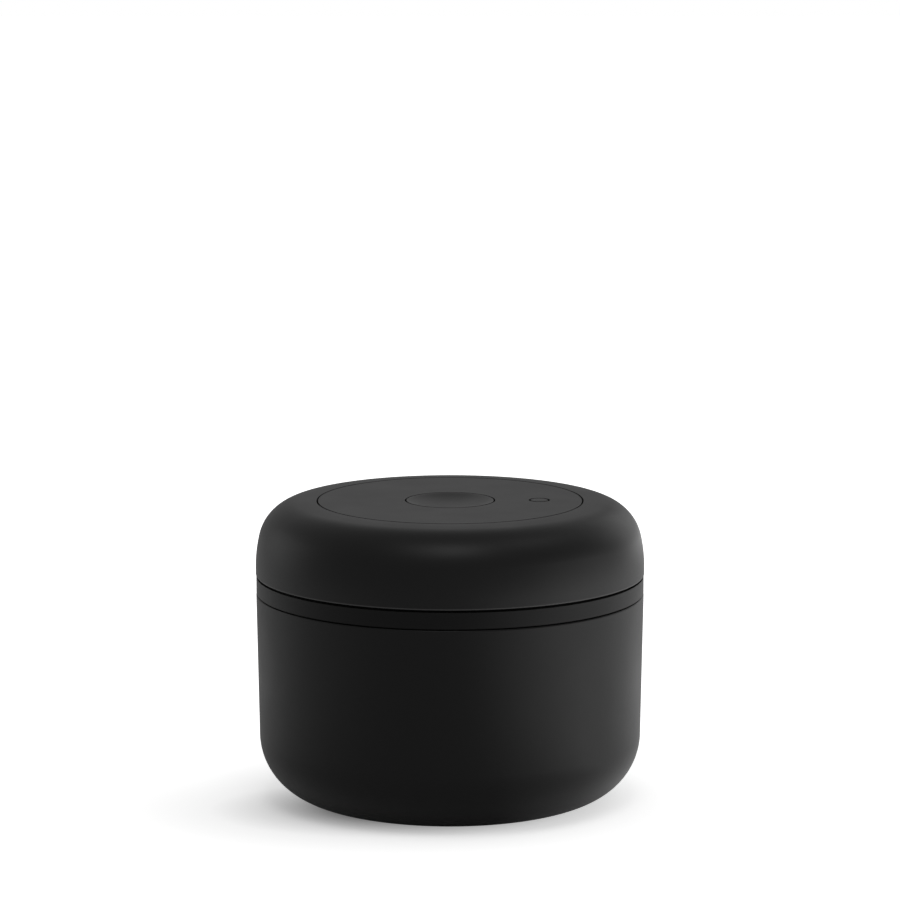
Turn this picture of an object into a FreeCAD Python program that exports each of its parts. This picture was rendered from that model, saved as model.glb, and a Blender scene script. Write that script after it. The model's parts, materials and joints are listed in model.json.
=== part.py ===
import FreeCAD, Part
import math
import os
import re
import Sketcher

# Vacuum coffee canister with a twist-pump lid.
# Millimetres and degrees, +Z up, origin at the centre of the flat base.

doc = FreeCAD.newDocument("VacuumCanister")

# Driving sizes
SIZES = {
    # Outer form
    "cap_diameter": 120.0,
    "cap_height": 22.6,
    "cap_side": 2.2,
    "cap_wall": 2.2,
    "cap_lip_round": 0.4,
    "side_radius": 43.0,
    "corner_radius": 13.3,
    "crown_radius": 57.0,
    "cap_seam": 0.6,
    "band_height": 5.5,
    "band_inset": 0.15,
    "band_round": 0.25,
    "body_height": 64.2,
    "rim_inset": 0.1,
    "rim_round": 0.35,
    "wall_draft": 1.05,
    "base_corner": 20.2,
    "shell_wall": 1.0,
    "seam_round": 0.2,
    # Lid base, its gasket and the ring that the cap glides on
    "plug_depth": 22.0,
    "plug_gap": 1.7,
    "plug_wall": 3.8,
    "plug_lip_round": 0.5,
    "floor_thickness": 2.0,
    "collar_height": 4.4,
    "collar_gap": 0.4,
    "collar_wall": 2.2,
    "collar_slope": 1.8,
    "gasket_drop": 6.7,
    "gasket_height": 5.0,
    "gasket_depth": 1.8,
    "gasket_clearance": 0.3,
    "lip_pitch": 2.2,
    "lip_rise": 0.8,
    "lip_tip": 0.5,
    "lip_root": 1.2,
    "glide_gap": 0.1,
    "glide_width": 1.4,
    "glide_play": 0.05,
    # Cover and screen under the lid
    "cover_thickness": 1.6,
    "cover_gap": 0.3,
    "cover_hole": 2.4,
    "cover_hole_pitch": 9.0,
    "screen_thickness": 0.5,
    "screen_gap": 0.6,
    # Face plate
    "shoulder_width": 19.3,
    "face_thickness": 2.2,
    "face_gap": 0.45,
    "ledge_gap": 0.3,
    "ledge_thickness": 1.4,
    "ledge_reach": 3.4,
    "ledge_root": 2.7,
    "guide_depth": 7.3,
    "guide_wall": 1.8,
    # Release button, stem and poppet
    "button_diameter": 26.9,
    "button_gap": 0.45,
    "button_rim": 0.3,
    "button_dish": 2.2,
    "button_floor": 1.8,
    "button_height": 10.5,
    "button_wall": 1.6,
    "button_travel": 2.5,
    "stem_diameter": 3.2,
    "stem_spigot": 2.2,
    "stem_socket": 7.0,
    "socket_wall": 1.6,
    "stem_tail": 0.4,
    "stem_foot_gap": 0.6,
    "stem_running_gap": 0.1,
    "stem_air_gap": 1.0,
    "poppet_diameter": 11.0,
    "poppet_thickness": 1.6,
    "clip_diameter": 6.0,
    "clip_thickness": 0.8,
    "seat_bore": 6.0,
    "tube_diameter": 13.0,
    "tube_height": 10.5,
    "tube_guide": 3.0,
    "vent_diameter": 2.4,
    "release_wire": 0.8,
    "spring_gap": 0.48,
    # Vacuum indicator
    "indicator_diameter": 5.4,
    "indicator_gap": 0.5,
    "indicator_shift": 0.2,
    "indicator_travel": 2.0,
    "indicator_rod": 2.8,
    "indicator_flange": 8.6,
    "indicator_flange_height": 1.4,
    "sleeve_depth": 6.3,
    "sleeve_wall": 1.6,
    "chamber_bore": 10.0,
    "chamber_wall": 1.6,
    "chamber_room": 8.5,
    "chamber_port": 3.0,
    "hub_diameter": 5.6,
    "hub_drop": 0.8,
    "hub_rise": 2.0,
    "hub_socket": 1.8,
    "web_drop": 0.3,
    "web_thickness": 0.6,
    "bead_height": 1.2,
    "bead_inset": 0.3,
    "clamp_wall": 1.0,
    "clamp_skirt": 3.0,
    "indicator_wire": 0.5,
    "indicator_coil": 4.6,
    # Pumps
    "bore_diameter": 18.0,
    "cylinder_wall": 1.6,
    "deck_thickness": 2.0,
    "block_gasket_thickness": 0.8,
    "block_gasket_inset": 0.5,
    "port_diameter": 11.0,
    "piston_stroke": 7.0,
    "twist_range": 75.0,
    "dead_height": 1.1,
    "crown_thickness": 5.0,
    "piston_gap": 0.2,
    "seal_section": 1.8,
    "seal_gap": 0.06,
    "rod_diameter": 7.0,
    "rod_overhang": 2.6,
    "pin_diameter": 3.0,
    "pin_chamfer": 0.3,
    "pin_inset": 0.3,
    "pin_clearance": 0.2,
    "pin_headroom": 0.5,
    "exhaust_hole": 1.6,
    "flap_gap": 1.6,
    "flap_thickness": 0.6,
    "umbrella_diameter": 10.8,
    "umbrella_crown": 0.9,
    "umbrella_edge": 0.35,
    "umbrella_stem": 1.9,
    "umbrella_bulb": 3.0,
    "bulb_length": 1.5,
    "intake_hole": 1.8,
    "intake_circle": 6.8,
    # Pin guides and cam ring
    "fork_clear": 0.6,
    "fork_wall": 2.6,
    "fork_width": 9.0,
    "fork_margin": 1.0,
    "cam_gap": 1.2,
    "cam_wall": 3.0,
    "cam_margin": 2.5,
    "flange_thickness": 2.2,
    "flange_gap": 4.9,
    # Screws
    "tie_offset": 2.0,
    "tie_boss": 6.8,
    "tie_screw": 3.0,
    "tie_head": 5.6,
    "tie_head_height": 2.0,
    "tie_grip": 14.0,
    "tie_key": 2.5,
    "screw_seal_thickness": 0.6,
    "screw_boss": 5.6,
    "screw_diameter": 2.2,
    "screw_head": 4.2,
    "screw_head_height": 1.6,
    "screw_grip": 5.5,
    "screw_key": 1.5,
    "key_share": 0.5,
    "screw_gap": 0.2,
    "boss_margin": 0.3,
    # Fits within one body, and how far a boss runs into the wall that it stands on
    "fit_gap": 0.02,
    "overlap": 0.3,
}

# Levels, radii and joints of arcs, worked out from the driving sizes
DERIVED = {
    "rim_z": "body_height",
    "band_top_z": "rim_z + band_height",
    "cap_bottom_z": "band_top_z + cap_seam",
    "shoulder_z": "cap_bottom_z + cap_side",
    "top_z": "cap_bottom_z + cap_height",
    # Canister wall, drawn in by its draft below the rim
    "rim_radius": "cap_radius - rim_inset",
    "corner_x": "rim_radius - (rim_z - base_corner) * tan(wall_draft) - base_corner / cos(wall_draft)",
    "inner_corner": "base_corner - shell_wall",
    "inner_rim_radius": "rim_radius - shell_wall / cos(wall_draft)",
    # Cap dome: side, corner and crown arcs, each tangent to the next
    "cap_radius": "cap_diameter / 2",
    "cap_inner_radius": "cap_radius - cap_wall",
    "face_radius": "cap_radius - shoulder_width",
    "opening_radius": "face_radius + face_gap",
    "side_x": "cap_radius - side_radius",
    "crown_x": "opening_radius + seam_round",
    "crown_z": "top_z - crown_radius",
    "side_reach": "side_radius - corner_radius",
    "crown_reach": "crown_radius - corner_radius",
    "span_x": "crown_x - side_x",
    "span_z": "crown_z - shoulder_z",
    "span": "sqrt(span_x ^ 2 + span_z ^ 2)",
    "span_foot": "(side_reach ^ 2 - crown_reach ^ 2 + span ^ 2) / (2 * span)",
    "span_height": "sqrt(side_reach ^ 2 - span_foot ^ 2)",
    "dome_x": "side_x + (span_foot * span_x - span_height * span_z) / span",
    "dome_z": "shoulder_z + (span_foot * span_z + span_height * span_x) / span",
    "side_dir_x": "(dome_x - side_x) / side_reach",
    "side_dir_z": "(dome_z - shoulder_z) / side_reach",
    "crown_dir_x": "(dome_x - crown_x) / crown_reach",
    "crown_dir_z": "(dome_z - crown_z) / crown_reach",
    "inner_side": "side_radius - cap_wall",
    "inner_corner_radius": "corner_radius - cap_wall",
    "inner_crown": "crown_radius - cap_wall",
    # Face plate and the cap's ledge below it
    "face_z": "top_z - face_thickness",
    "ledge_z": "face_z - ledge_gap",
    "ledge_bottom_z": "ledge_z - ledge_thickness",
    "ledge_radius": "opening_radius - ledge_reach",
    "ledge_root_radius": "crown_x + ledge_root",
    "ledge_root_z": "crown_z + sqrt(inner_crown ^ 2 - ledge_root ^ 2)",
    # Lid base
    "band_radius": "cap_radius - band_inset",
    "collar_radius": "cap_inner_radius - collar_gap",
    "collar_inner_radius": "collar_radius - collar_wall",
    "collar_top_z": "band_top_z + collar_height",
    "plug_radius": "inner_rim_radius - plug_gap",
    "plug_inner_radius": "plug_radius - plug_wall",
    "plug_bottom_z": "rim_z - plug_depth",
    "gasket_top_z": "rim_z - gasket_drop",
    "gasket_z": "gasket_top_z - gasket_height",
    "gasket_radius": "plug_radius - gasket_depth",
    "lip_radius": "inner_rim_radius - (rim_z - gasket_z) * tan(wall_draft) - gasket_clearance",
    "glide_radius": "collar_radius + glide_gap",
    "cover_top_z": "plug_bottom_z + cover_thickness",
    "cover_radius": "plug_inner_radius - cover_gap",
    "screen_top_z": "cover_top_z + screen_thickness",
    "cover_screw_radius": "plug_inner_radius - screw_boss / 2 - boss_margin",
    "screen_radius": "cover_screw_radius - screw_boss / 2 - screen_gap",
    "seat_stack": "poppet_thickness + clip_thickness + stem_tail",
    "floor_z": "screen_top_z + stem_foot_gap + button_travel + seat_stack",
    "floor_top_z": "floor_z + floor_thickness",
    # Pumps
    "pump_radius": "fork_inner_radius - fork_clear - bore_radius",
    "bore_radius": "bore_diameter / 2",
    "cylinder_radius": "bore_radius + cylinder_wall",
    "block_z": "floor_top_z + block_gasket_thickness",
    "deck_z": "block_z + deck_thickness",
    "cylinder_height": "dead_height + piston_stroke + crown_thickness",
    "cylinder_top_z": "deck_z + cylinder_height",
    "crown_rest_z": "deck_z + dead_height + piston_stroke / 2",
    "pin_radius": "pin_diameter / 2",
    "pin_z": "cylinder_top_z + piston_stroke / 2 + pin_radius + pin_headroom",
    "pin_rise": "pin_z - crown_rest_z",
    "seal_radius": "bore_radius - seal_gap - seal_section / 2",
    "groove_radius": "seal_radius - seal_section / 2 - fit_gap",
    "groove_half": "seal_section / 2 + fit_gap",
    "rod_radius": "rod_diameter / 2",
    "exhaust_radius": "(rod_radius + groove_radius) / 2",
    "flap_radius": "bore_radius - flap_gap",
    # Cam ring and pin guides, from the flange inside the collar in to the pumps
    "flange_radius": "collar_inner_radius - flange_gap",
    "cam_screw_radius": "flange_radius - screw_boss / 2",
    "cam_radius": "cam_screw_radius - screw_boss / 2 - boss_margin",
    "cam_inner_radius": "cam_radius - cam_wall",
    "fork_radius": "cam_inner_radius - cam_gap",
    "fork_inner_radius": "fork_radius - fork_wall",
    "fork_top_z": "pin_z + piston_stroke / 2 + pin_radius + fork_margin",
    "slot_height": "pin_diameter + 2 * pin_clearance",
    "slot_end": "(pin_radius + pin_clearance) / cam_inner_radius * 180 / pi",
    "slot_sweep": "twist_range + 2 * slot_end",
    "slot_rise": "piston_stroke * slot_sweep / twist_range",
    "slot_reach": "(slot_rise + slot_height) / 2 + cam_margin",
    "cam_z": "pin_z - slot_reach",
    "cam_top_z": "pin_z + slot_reach",
    "flange_top_z": "cam_top_z + flange_thickness",
    "cam_boss_inner": "cam_screw_radius - screw_boss / 2 - crown_x",
    "cam_boss_top_z": "crown_z + sqrt(inner_crown ^ 2 - cam_boss_inner ^ 2) + overlap",
    "cam_grip": "cam_boss_top_z - 2 * overlap - flange_top_z",
    # Screws
    "tie_radius": "pump_radius + tie_offset",
    "tie_x": "tie_radius * cos(45)",
    "tie_hole_radius": "tie_screw / 2 + screw_gap",
    "tie_pilot_radius": "tie_screw / 2 + fit_gap",
    "tie_head_z": "floor_z - screw_seal_thickness",
    "cover_screw_x": "cover_screw_radius * cos(45)",
    "screw_hole_radius": "screw_diameter / 2 + screw_gap",
    "screw_pilot_radius": "screw_diameter / 2 + fit_gap",
    # Release button and stem
    "button_radius": "button_diameter / 2",
    "button_hole_radius": "button_radius + button_gap",
    "dish_radius": "button_radius - seam_round - button_rim",
    "dish_sphere": "(dish_radius ^ 2 + button_dish ^ 2) / (2 * button_dish)",
    "button_under_z": "top_z - button_dish - button_floor",
    "skirt_z": "top_z - button_height",
    "stem_radius": "stem_diameter / 2",
    "spigot_radius": "stem_spigot / 2",
    "socket_radius": "stem_radius + fit_gap",
    "poppet_z": "floor_z - poppet_thickness",
    "clip_z": "poppet_z - clip_thickness",
    "tube_radius": "tube_diameter / 2",
    "release_coil": "2 * (socket_radius + socket_wall + spring_gap + release_wire)",
    "tube_top_z": "deck_z + tube_height",
    # Indicator
    "indicator_radius": "indicator_diameter / 2",
    "indicator_hole_radius": "indicator_radius + indicator_gap",
    "indicator_x": "(face_radius + button_hole_radius) / 2 + indicator_shift",
    "sleeve_z": "face_z - sleeve_depth",
    "chamber_radius": "chamber_bore / 2 + chamber_wall",
    "chamber_top_z": "deck_z + indicator_travel + chamber_room",
    "bead_radius": "chamber_bore / 2 + bead_inset",
    "bead_top_z": "chamber_top_z + bead_height",
    "web_z": "chamber_top_z + web_drop",
    "hub_radius": "hub_diameter / 2",
    "hub_z": "chamber_top_z - hub_drop",
    "hub_top_z": "chamber_top_z + hub_rise",
    "hub_socket_radius": "indicator_rod / 2 + fit_gap",
    "hub_socket_z": "hub_top_z - hub_socket",
    "clamp_radius": "chamber_radius + fit_gap + clamp_wall",
}

PUMP_ANGLES = (90, 180, 270)
CORNER_SCREWS = 4
CAM_SCREWS = 3
VALVE_HOLES = 6
COVER_RINGS = 4
COVER_HOLES_PER_RING = 6
GASKET_LIPS = 2
RELEASE_TURNS = 7
INDICATOR_TURNS = 6
LEVEL_TOLERANCE = 1e-4

sheet = doc.addObject("Spreadsheet::Sheet", "Sizes")
for row, (alias, size) in enumerate(SIZES.items(), start=1):
    sheet.set(f"A{row}", alias)
    sheet.set(f"B{row}", str(size))
    sheet.setAlias(f"B{row}", alias)
doc.recompute()

nodes = []


# Formulas in the names above, as text for expressions or as numbers

def formula(text):
    """Points every name of a size at the sheet and writes out the derived names."""
    def write_out(match):
        name = match.group(0)
        if name in SIZES:
            return "Sizes." + name
        if name in DERIVED:
            return "(" + formula(DERIVED[name]) + ")"
        return name
    return re.sub(r"[A-Za-z_]\w*", write_out, str(text))


def number(text):
    return float(sheet.evalExpression(formula(text)))


def bind(item, path, text):
    item.setExpression(path, formula(text))


# Bodies, sketches and features

def new_body(label):
    body = doc.addObject("PartDesign::Body", label)
    body.Label = label
    nodes.append(body)
    return body


def origin_feature(body, role):
    for feature in body.Origin.OriginFeatures:
        if feature.Role == role:
            return feature
    raise ValueError(role)


def new_sketch(body, plane, height="0"):
    """An empty sketch on one of the body's own origin planes, moved along its normal."""
    sketch = body.newObject("Sketcher::SketchObject", body.Label + "_sketch")
    sketch.AttachmentSupport = (origin_feature(body, plane), [""])
    sketch.MapMode = "FlatFace"
    sketch.AttachmentOffset = FreeCAD.Placement(FreeCAD.Vector(0, 0, number(height)), FreeCAD.Rotation())
    bind(sketch, "AttachmentOffset.Base.z", height)
    return sketch


def fix_point(sketch, geometry, point, x, y):
    """Holds a sketch point at two formulas; a zero puts it on the axis."""
    for text, kind, axis in ((x, "DistanceX", -2), (y, "DistanceY", -1)):
        if str(text) == "0":
            sketch.addConstraint(Sketcher.Constraint("PointOnObject", geometry, point, axis))
        else:
            index = sketch.addConstraint(Sketcher.Constraint(kind, geometry, point, number(text)))
            bind(sketch, f"Constraints[{index}]", text)


def add_outline(sketch, points):
    """Closes a loop of points (x, y), or (x, y, centre x, centre y, radius) where an arc starts."""
    places = [FreeCAD.Vector(number(point[0]), number(point[1]), 0) for point in points]
    first_end = []
    for index, point in enumerate(points):
        start = places[index]
        end = places[(index + 1) % len(places)]
        if len(point) == 2:
            sketch.addGeometry(Part.LineSegment(start, end))
            first_end.append((1, 2))
            continue
        centre = FreeCAD.Vector(number(point[2]), number(point[3]), 0)
        middle = (start + end) / 2 - centre
        middle = centre + middle.normalize() * number(point[4])
        sketch.addGeometry(Part.Arc(start, middle, end))
        turns_left = (start - centre).cross(end - centre).z > 0
        first_end.append((1, 2) if turns_left else (2, 1))
    for index in range(len(points)):
        after = (index + 1) % len(points)
        joint = (index, first_end[index][1], after, first_end[after][0])
        sketch.addConstraint(Sketcher.Constraint("Coincident", *joint))
    for index, point in enumerate(points):
        fix_point(sketch, index, first_end[index][0], point[0], point[1])
        if len(point) > 2:
            bend = sketch.addConstraint(Sketcher.Constraint("Radius", index, number(point[4])))
            bind(sketch, f"Constraints[{bend}]", point[4])


def add_circle(sketch, x, y, radius):
    centre = FreeCAD.Vector(number(x), number(y), 0)
    circle = Part.Circle(centre, FreeCAD.Vector(0, 0, 1), number(radius))
    geometry = sketch.addGeometry(circle)
    fix_point(sketch, geometry, 3, x, y)
    index = sketch.addConstraint(Sketcher.Constraint("Radius", geometry, number(radius)))
    bind(sketch, f"Constraints[{index}]", radius)


def revolve(body, points, axis="V_Axis"):
    sketch = new_sketch(body, "XZ_Plane")
    add_outline(sketch, points)
    feature = body.newObject("PartDesign::Revolution", body.Label + "_revolution")
    feature.Profile = sketch
    feature.ReferenceAxis = (sketch, [axis])
    feature.Angle = 360
    doc.recompute()
    return feature


def round_part(label, points):
    """A body turned about Z from the outline of its section, points as (radius, height)."""
    body = new_body(label)
    revolve(body, points)
    return body


def pad(body, sketch, length):
    feature = body.newObject("PartDesign::Pad", body.Label + "_pad")
    feature.Profile = sketch
    bind(feature, "Length", length)
    doc.recompute()
    return feature


def pocket(body, sketch, length, upward=False):
    """Cuts against the sketch's normal, or along it when upward, and checks that it cut."""
    before = body.Shape.Volume
    feature = body.newObject("PartDesign::Pocket", body.Label + "_pocket")
    feature.Profile = sketch
    feature.Reversed = upward
    bind(feature, "Length", length)
    doc.recompute()
    if body.Shape.Volume >= before:
        raise ValueError(body.Label + ": a pocket cuts nothing")
    return feature


def repeat_round(body, feature, count, angle=360):
    pattern = body.newObject("PartDesign::PolarPattern", body.Label + "_pattern")
    pattern.Originals = [feature]
    pattern.Axis = (origin_feature(body, "Z_Axis"), [""])
    pattern.Angle = angle
    pattern.Occurrences = count
    body.Tip = pattern
    doc.recompute()


def add_posts(body, x, y, radius, hole, low, high):
    """A round post, or a tube where hole is a radius, from one level to another."""
    sketch = new_sketch(body, "XY_Plane", low)
    add_circle(sketch, x, y, radius)
    if hole:
        add_circle(sketch, x, y, hole)
    return pad(body, sketch, f"{high} - ({low})")


def drill(body, x, y, radius, low, high):
    """A round hole from one level up to another."""
    sketch = new_sketch(body, "XY_Plane", low)
    add_circle(sketch, x, y, radius)
    return pocket(body, sketch, f"{high} - ({low})", upward=True)


def place(item, x, y, z, angle=0):
    item.Placement = FreeCAD.Placement(FreeCAD.Vector(), FreeCAD.Rotation(FreeCAD.Vector(0, 0, 1), angle))
    for axis, text in (("x", x), ("y", y), ("z", z)):
        bind(item, "Placement.Base." + axis, text)


def place_at_pump(item, angle, height):
    place(item, f"pump_radius * cos({angle})", f"pump_radius * sin({angle})", height, angle)


def round_edges(body, height, radius):
    """Rounds every circular edge of the body at one level."""
    level = number(height)
    names = []
    for index, edge in enumerate(body.Shape.Edges, start=1):
        offsets = (abs(edge.BoundBox.ZMin - level), abs(edge.BoundBox.ZMax - level))
        if max(offsets) < LEVEL_TOLERANCE:
            names.append(f"Edge{index}")
    base = body.Tip
    feature = body.newObject("PartDesign::Fillet", body.Label + "_round")
    feature.Base = (base, names)
    bind(feature, "Radius", radius)
    doc.recompute()


# Primitives for screws and washers

def cylinder(name, radius, height, x, y, z):
    item = doc.addObject("Part::Cylinder", name)
    bind(item, "Radius", radius)
    bind(item, "Height", height)
    place(item, x, y, z)
    return item


def screw(name, x, y, z, shaft, length, head, head_height, key):
    """A cap screw that points up, its head below the level z, with a hexagon socket."""
    head_item = cylinder(name + "_head", f"{head} / 2", head_height, x, y, f"{z} - {head_height}")
    shaft_item = cylinder(name + "_shaft", f"{shaft} / 2", length, x, y, z)
    whole = doc.addObject("Part::Fuse", name + "_whole")
    whole.Base = head_item
    whole.Tool = shaft_item
    socket = doc.addObject("Part::Prism", name + "_socket")
    socket.Polygon = 6
    bind(socket, "Circumradius", f"{key} / 2 / cos(30)")
    bind(socket, "Height", f"{head_height} * key_share")
    place(socket, x, y, f"{z} - {head_height}")
    cut = doc.addObject("Part::Cut", name)
    cut.Base = whole
    cut.Tool = socket
    return cut


def group(label, items):
    compound = doc.addObject("Part::Compound", label)
    compound.Label = label
    compound.Links = items
    nodes.append(compound)


def around(radius, count, first_angle=0):
    """Places evenly round Z, as pairs of formulas."""
    angles = [first_angle + index * 360 / count for index in range(count)]
    return [(f"{radius} * cos({angle})", f"{radius} * sin({angle})") for angle in angles]


# Springs

def biarc(start, start_way, end, end_way):
    """Two arcs, tangent to each other, between two points with given directions."""
    chord = end - start
    ways = start_way + end_way
    along = chord.dot(ways)
    rest = 4 - ways.dot(ways)
    reach = (math.sqrt(along * along + rest * chord.dot(chord)) - along) / rest
    first_corner = start + start_way * reach
    last_corner = end - end_way * reach
    meeting = (first_corner + last_corner) / 2
    arcs = []
    for near, far, corner in ((start, meeting, first_corner), (meeting, end, last_corner)):
        weight = (far - near).Length / (2 * reach)
        middle = (near + far + corner * (2 * weight)) / (2 + 2 * weight)
        arcs.append(Part.Arc(near, middle, far).toShape())
    return arcs


def spring(label, coil, wire, turns, low, high, x):
    """A round wire wound up from one level to another, as one unbroken tube."""
    radius = number(coil) / 2 - number(wire) / 2
    wire_radius = number(wire) / 2
    bottom = number(low) + wire_radius + number("fit_gap")
    rise = number(high) - number(low) - 2 * (wire_radius + number("fit_gap"))
    quarters = 4 * turns
    points = []
    ways = []
    for index in range(quarters + 1):
        angle = index * math.pi / 2
        level = bottom + rise * index / quarters
        points.append(FreeCAD.Vector(radius * math.cos(angle), radius * math.sin(angle), level))
        climb = rise / (2 * math.pi * turns)
        way = FreeCAD.Vector(-radius * math.sin(angle), radius * math.cos(angle), climb)
        ways.append(way.normalize())
    edges = []
    for index in range(quarters):
        edges += biarc(points[index], ways[index], points[index + 1], ways[index + 1])
    path = Part.Wire(edges)
    section = Part.Wire(Part.Circle(points[0], ways[0], wire_radius).toShape())
    item = doc.addObject("Part::Feature", label)
    item.Label = label
    item.Shape = path.makePipeShell([section], True, False)
    place(item, x, "0", "0")
    nodes.append(item)
    swept = math.pi * wire_radius ** 2 * path.Length
    print(f"{label}: gap between turns {rise / turns - 2 * wire_radius:.2f} mm,"
          f" volume over section times length {item.Shape.Volume / swept:.4f}")


# Canister

def make_canister_shell():
    draft_x = "cos(wall_draft)"
    draft_z = "sin(wall_draft)"
    body = round_part("canister_shell", [
        ("0", "0"),
        ("corner_x", "0", "corner_x", "base_corner", "base_corner"),
        (f"corner_x + base_corner * {draft_x}", f"base_corner - base_corner * {draft_z}"),
        ("rim_radius", "rim_z"),
        ("inner_rim_radius", "rim_z"),
        (f"corner_x + inner_corner * {draft_x}", f"base_corner - inner_corner * {draft_z}",
         "corner_x", "base_corner", "inner_corner"),
        ("corner_x", "shell_wall"),
        ("0", "shell_wall"),
    ])
    round_edges(body, "rim_z", "rim_round")


# Lid base and what is fixed to it

def make_lid_base():
    body = round_part("lid_base", [
        ("seat_bore / 2", "floor_top_z"),
        ("seat_bore / 2", "floor_z"),
        ("plug_inner_radius", "floor_z"),
        ("plug_inner_radius", "plug_bottom_z"),
        ("plug_radius - plug_lip_round", "plug_bottom_z",
         "plug_radius - plug_lip_round", "plug_bottom_z + plug_lip_round", "plug_lip_round"),
        ("plug_radius", "plug_bottom_z + plug_lip_round"),
        ("plug_radius", "gasket_z"),
        ("gasket_radius", "gasket_z"),
        ("gasket_radius", "gasket_top_z"),
        ("plug_radius", "gasket_top_z"),
        ("plug_radius", "rim_z"),
        ("band_radius - band_round", "rim_z",
         "band_radius - band_round", "rim_z + band_round", "band_round"),
        ("band_radius", "rim_z + band_round"),
        ("band_radius", "band_top_z - band_round",
         "band_radius - band_round", "band_top_z - band_round", "band_round"),
        ("band_radius - band_round", "band_top_z"),
        ("collar_radius", "band_top_z"),
        ("collar_radius", "collar_top_z"),
        ("collar_inner_radius", "collar_top_z"),
        ("collar_inner_radius", "gasket_top_z + plug_wall"),
        ("plug_inner_radius", "gasket_top_z + plug_wall - collar_slope"),
        ("plug_inner_radius", "floor_top_z"),
    ])
    ports = drill(body, "0", "pump_radius", "port_diameter / 2", "floor_z", "floor_top_z")
    repeat_round(body, ports, len(PUMP_ANGLES), 180)
    drill(body, "indicator_x", "0", "port_diameter / 2", "floor_z", "floor_top_z")
    tie_holes = drill(body, "tie_x", "tie_x", "tie_hole_radius", "floor_z", "floor_top_z")
    repeat_round(body, tie_holes, CORNER_SCREWS)
    posts = add_posts(body, "cover_screw_x", "cover_screw_x", "screw_boss / 2", None,
                      "cover_top_z", "floor_z + overlap")
    repeat_round(body, posts, CORNER_SCREWS)
    pilots = drill(body, "cover_screw_x", "cover_screw_x", "screw_pilot_radius",
                   "cover_top_z", "cover_top_z + screw_grip")
    repeat_round(body, pilots, CORNER_SCREWS)


def make_main_gasket():
    points = [("gasket_radius + fit_gap", "gasket_z"), ("plug_radius", "gasket_z")]
    for lip in range(GASKET_LIPS):
        start = f"gasket_z + lip_tip + {lip} * lip_pitch"
        points.append(("plug_radius", start))
        points.append(("lip_radius", f"{start} + lip_rise"))
        points.append(("lip_radius", f"{start} + lip_rise + lip_tip"))
        points.append(("plug_radius", f"{start} + lip_root"))
    points.append(("plug_radius", "gasket_top_z"))
    points.append(("gasket_radius + fit_gap", "gasket_top_z"))
    round_part("main_gasket", points)


def make_ring(label, inner, outer, low, high):
    return round_part(label, [(inner, low), (outer, low), (outer, high), (inner, high)])


def make_valve_cover():
    body = make_ring("valve_cover", "0", "cover_radius", "plug_bottom_z", "cover_top_z")
    screw_holes = drill(body, "cover_screw_x", "cover_screw_x", "screw_hole_radius",
                        "plug_bottom_z", "cover_top_z")
    repeat_round(body, screw_holes, CORNER_SCREWS)
    head_sinks = drill(body, "cover_screw_x", "cover_screw_x", "screw_head / 2 + screw_gap",
                       "plug_bottom_z", "plug_bottom_z + screw_head_height / 2")
    repeat_round(body, head_sinks, CORNER_SCREWS)
    for ring in range(1, COVER_RINGS + 1):
        holes = drill(body, f"{ring} * cover_hole_pitch", "0", "cover_hole / 2",
                      "plug_bottom_z", "cover_top_z")
        repeat_round(body, holes, ring * COVER_HOLES_PER_RING)


def make_block_gasket():
    body = make_ring("block_gasket", "seat_bore / 2", "fork_radius - block_gasket_inset",
                     "floor_top_z", "block_z")
    ports = drill(body, "0", "pump_radius", "port_diameter / 2", "floor_top_z", "block_z")
    repeat_round(body, ports, len(PUMP_ANGLES), 180)
    drill(body, "indicator_x", "0", "port_diameter / 2", "floor_top_z", "block_z")
    tie_holes = drill(body, "tie_x", "tie_x", "tie_hole_radius", "floor_top_z", "block_z")
    repeat_round(body, tie_holes, CORNER_SCREWS)


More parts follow.
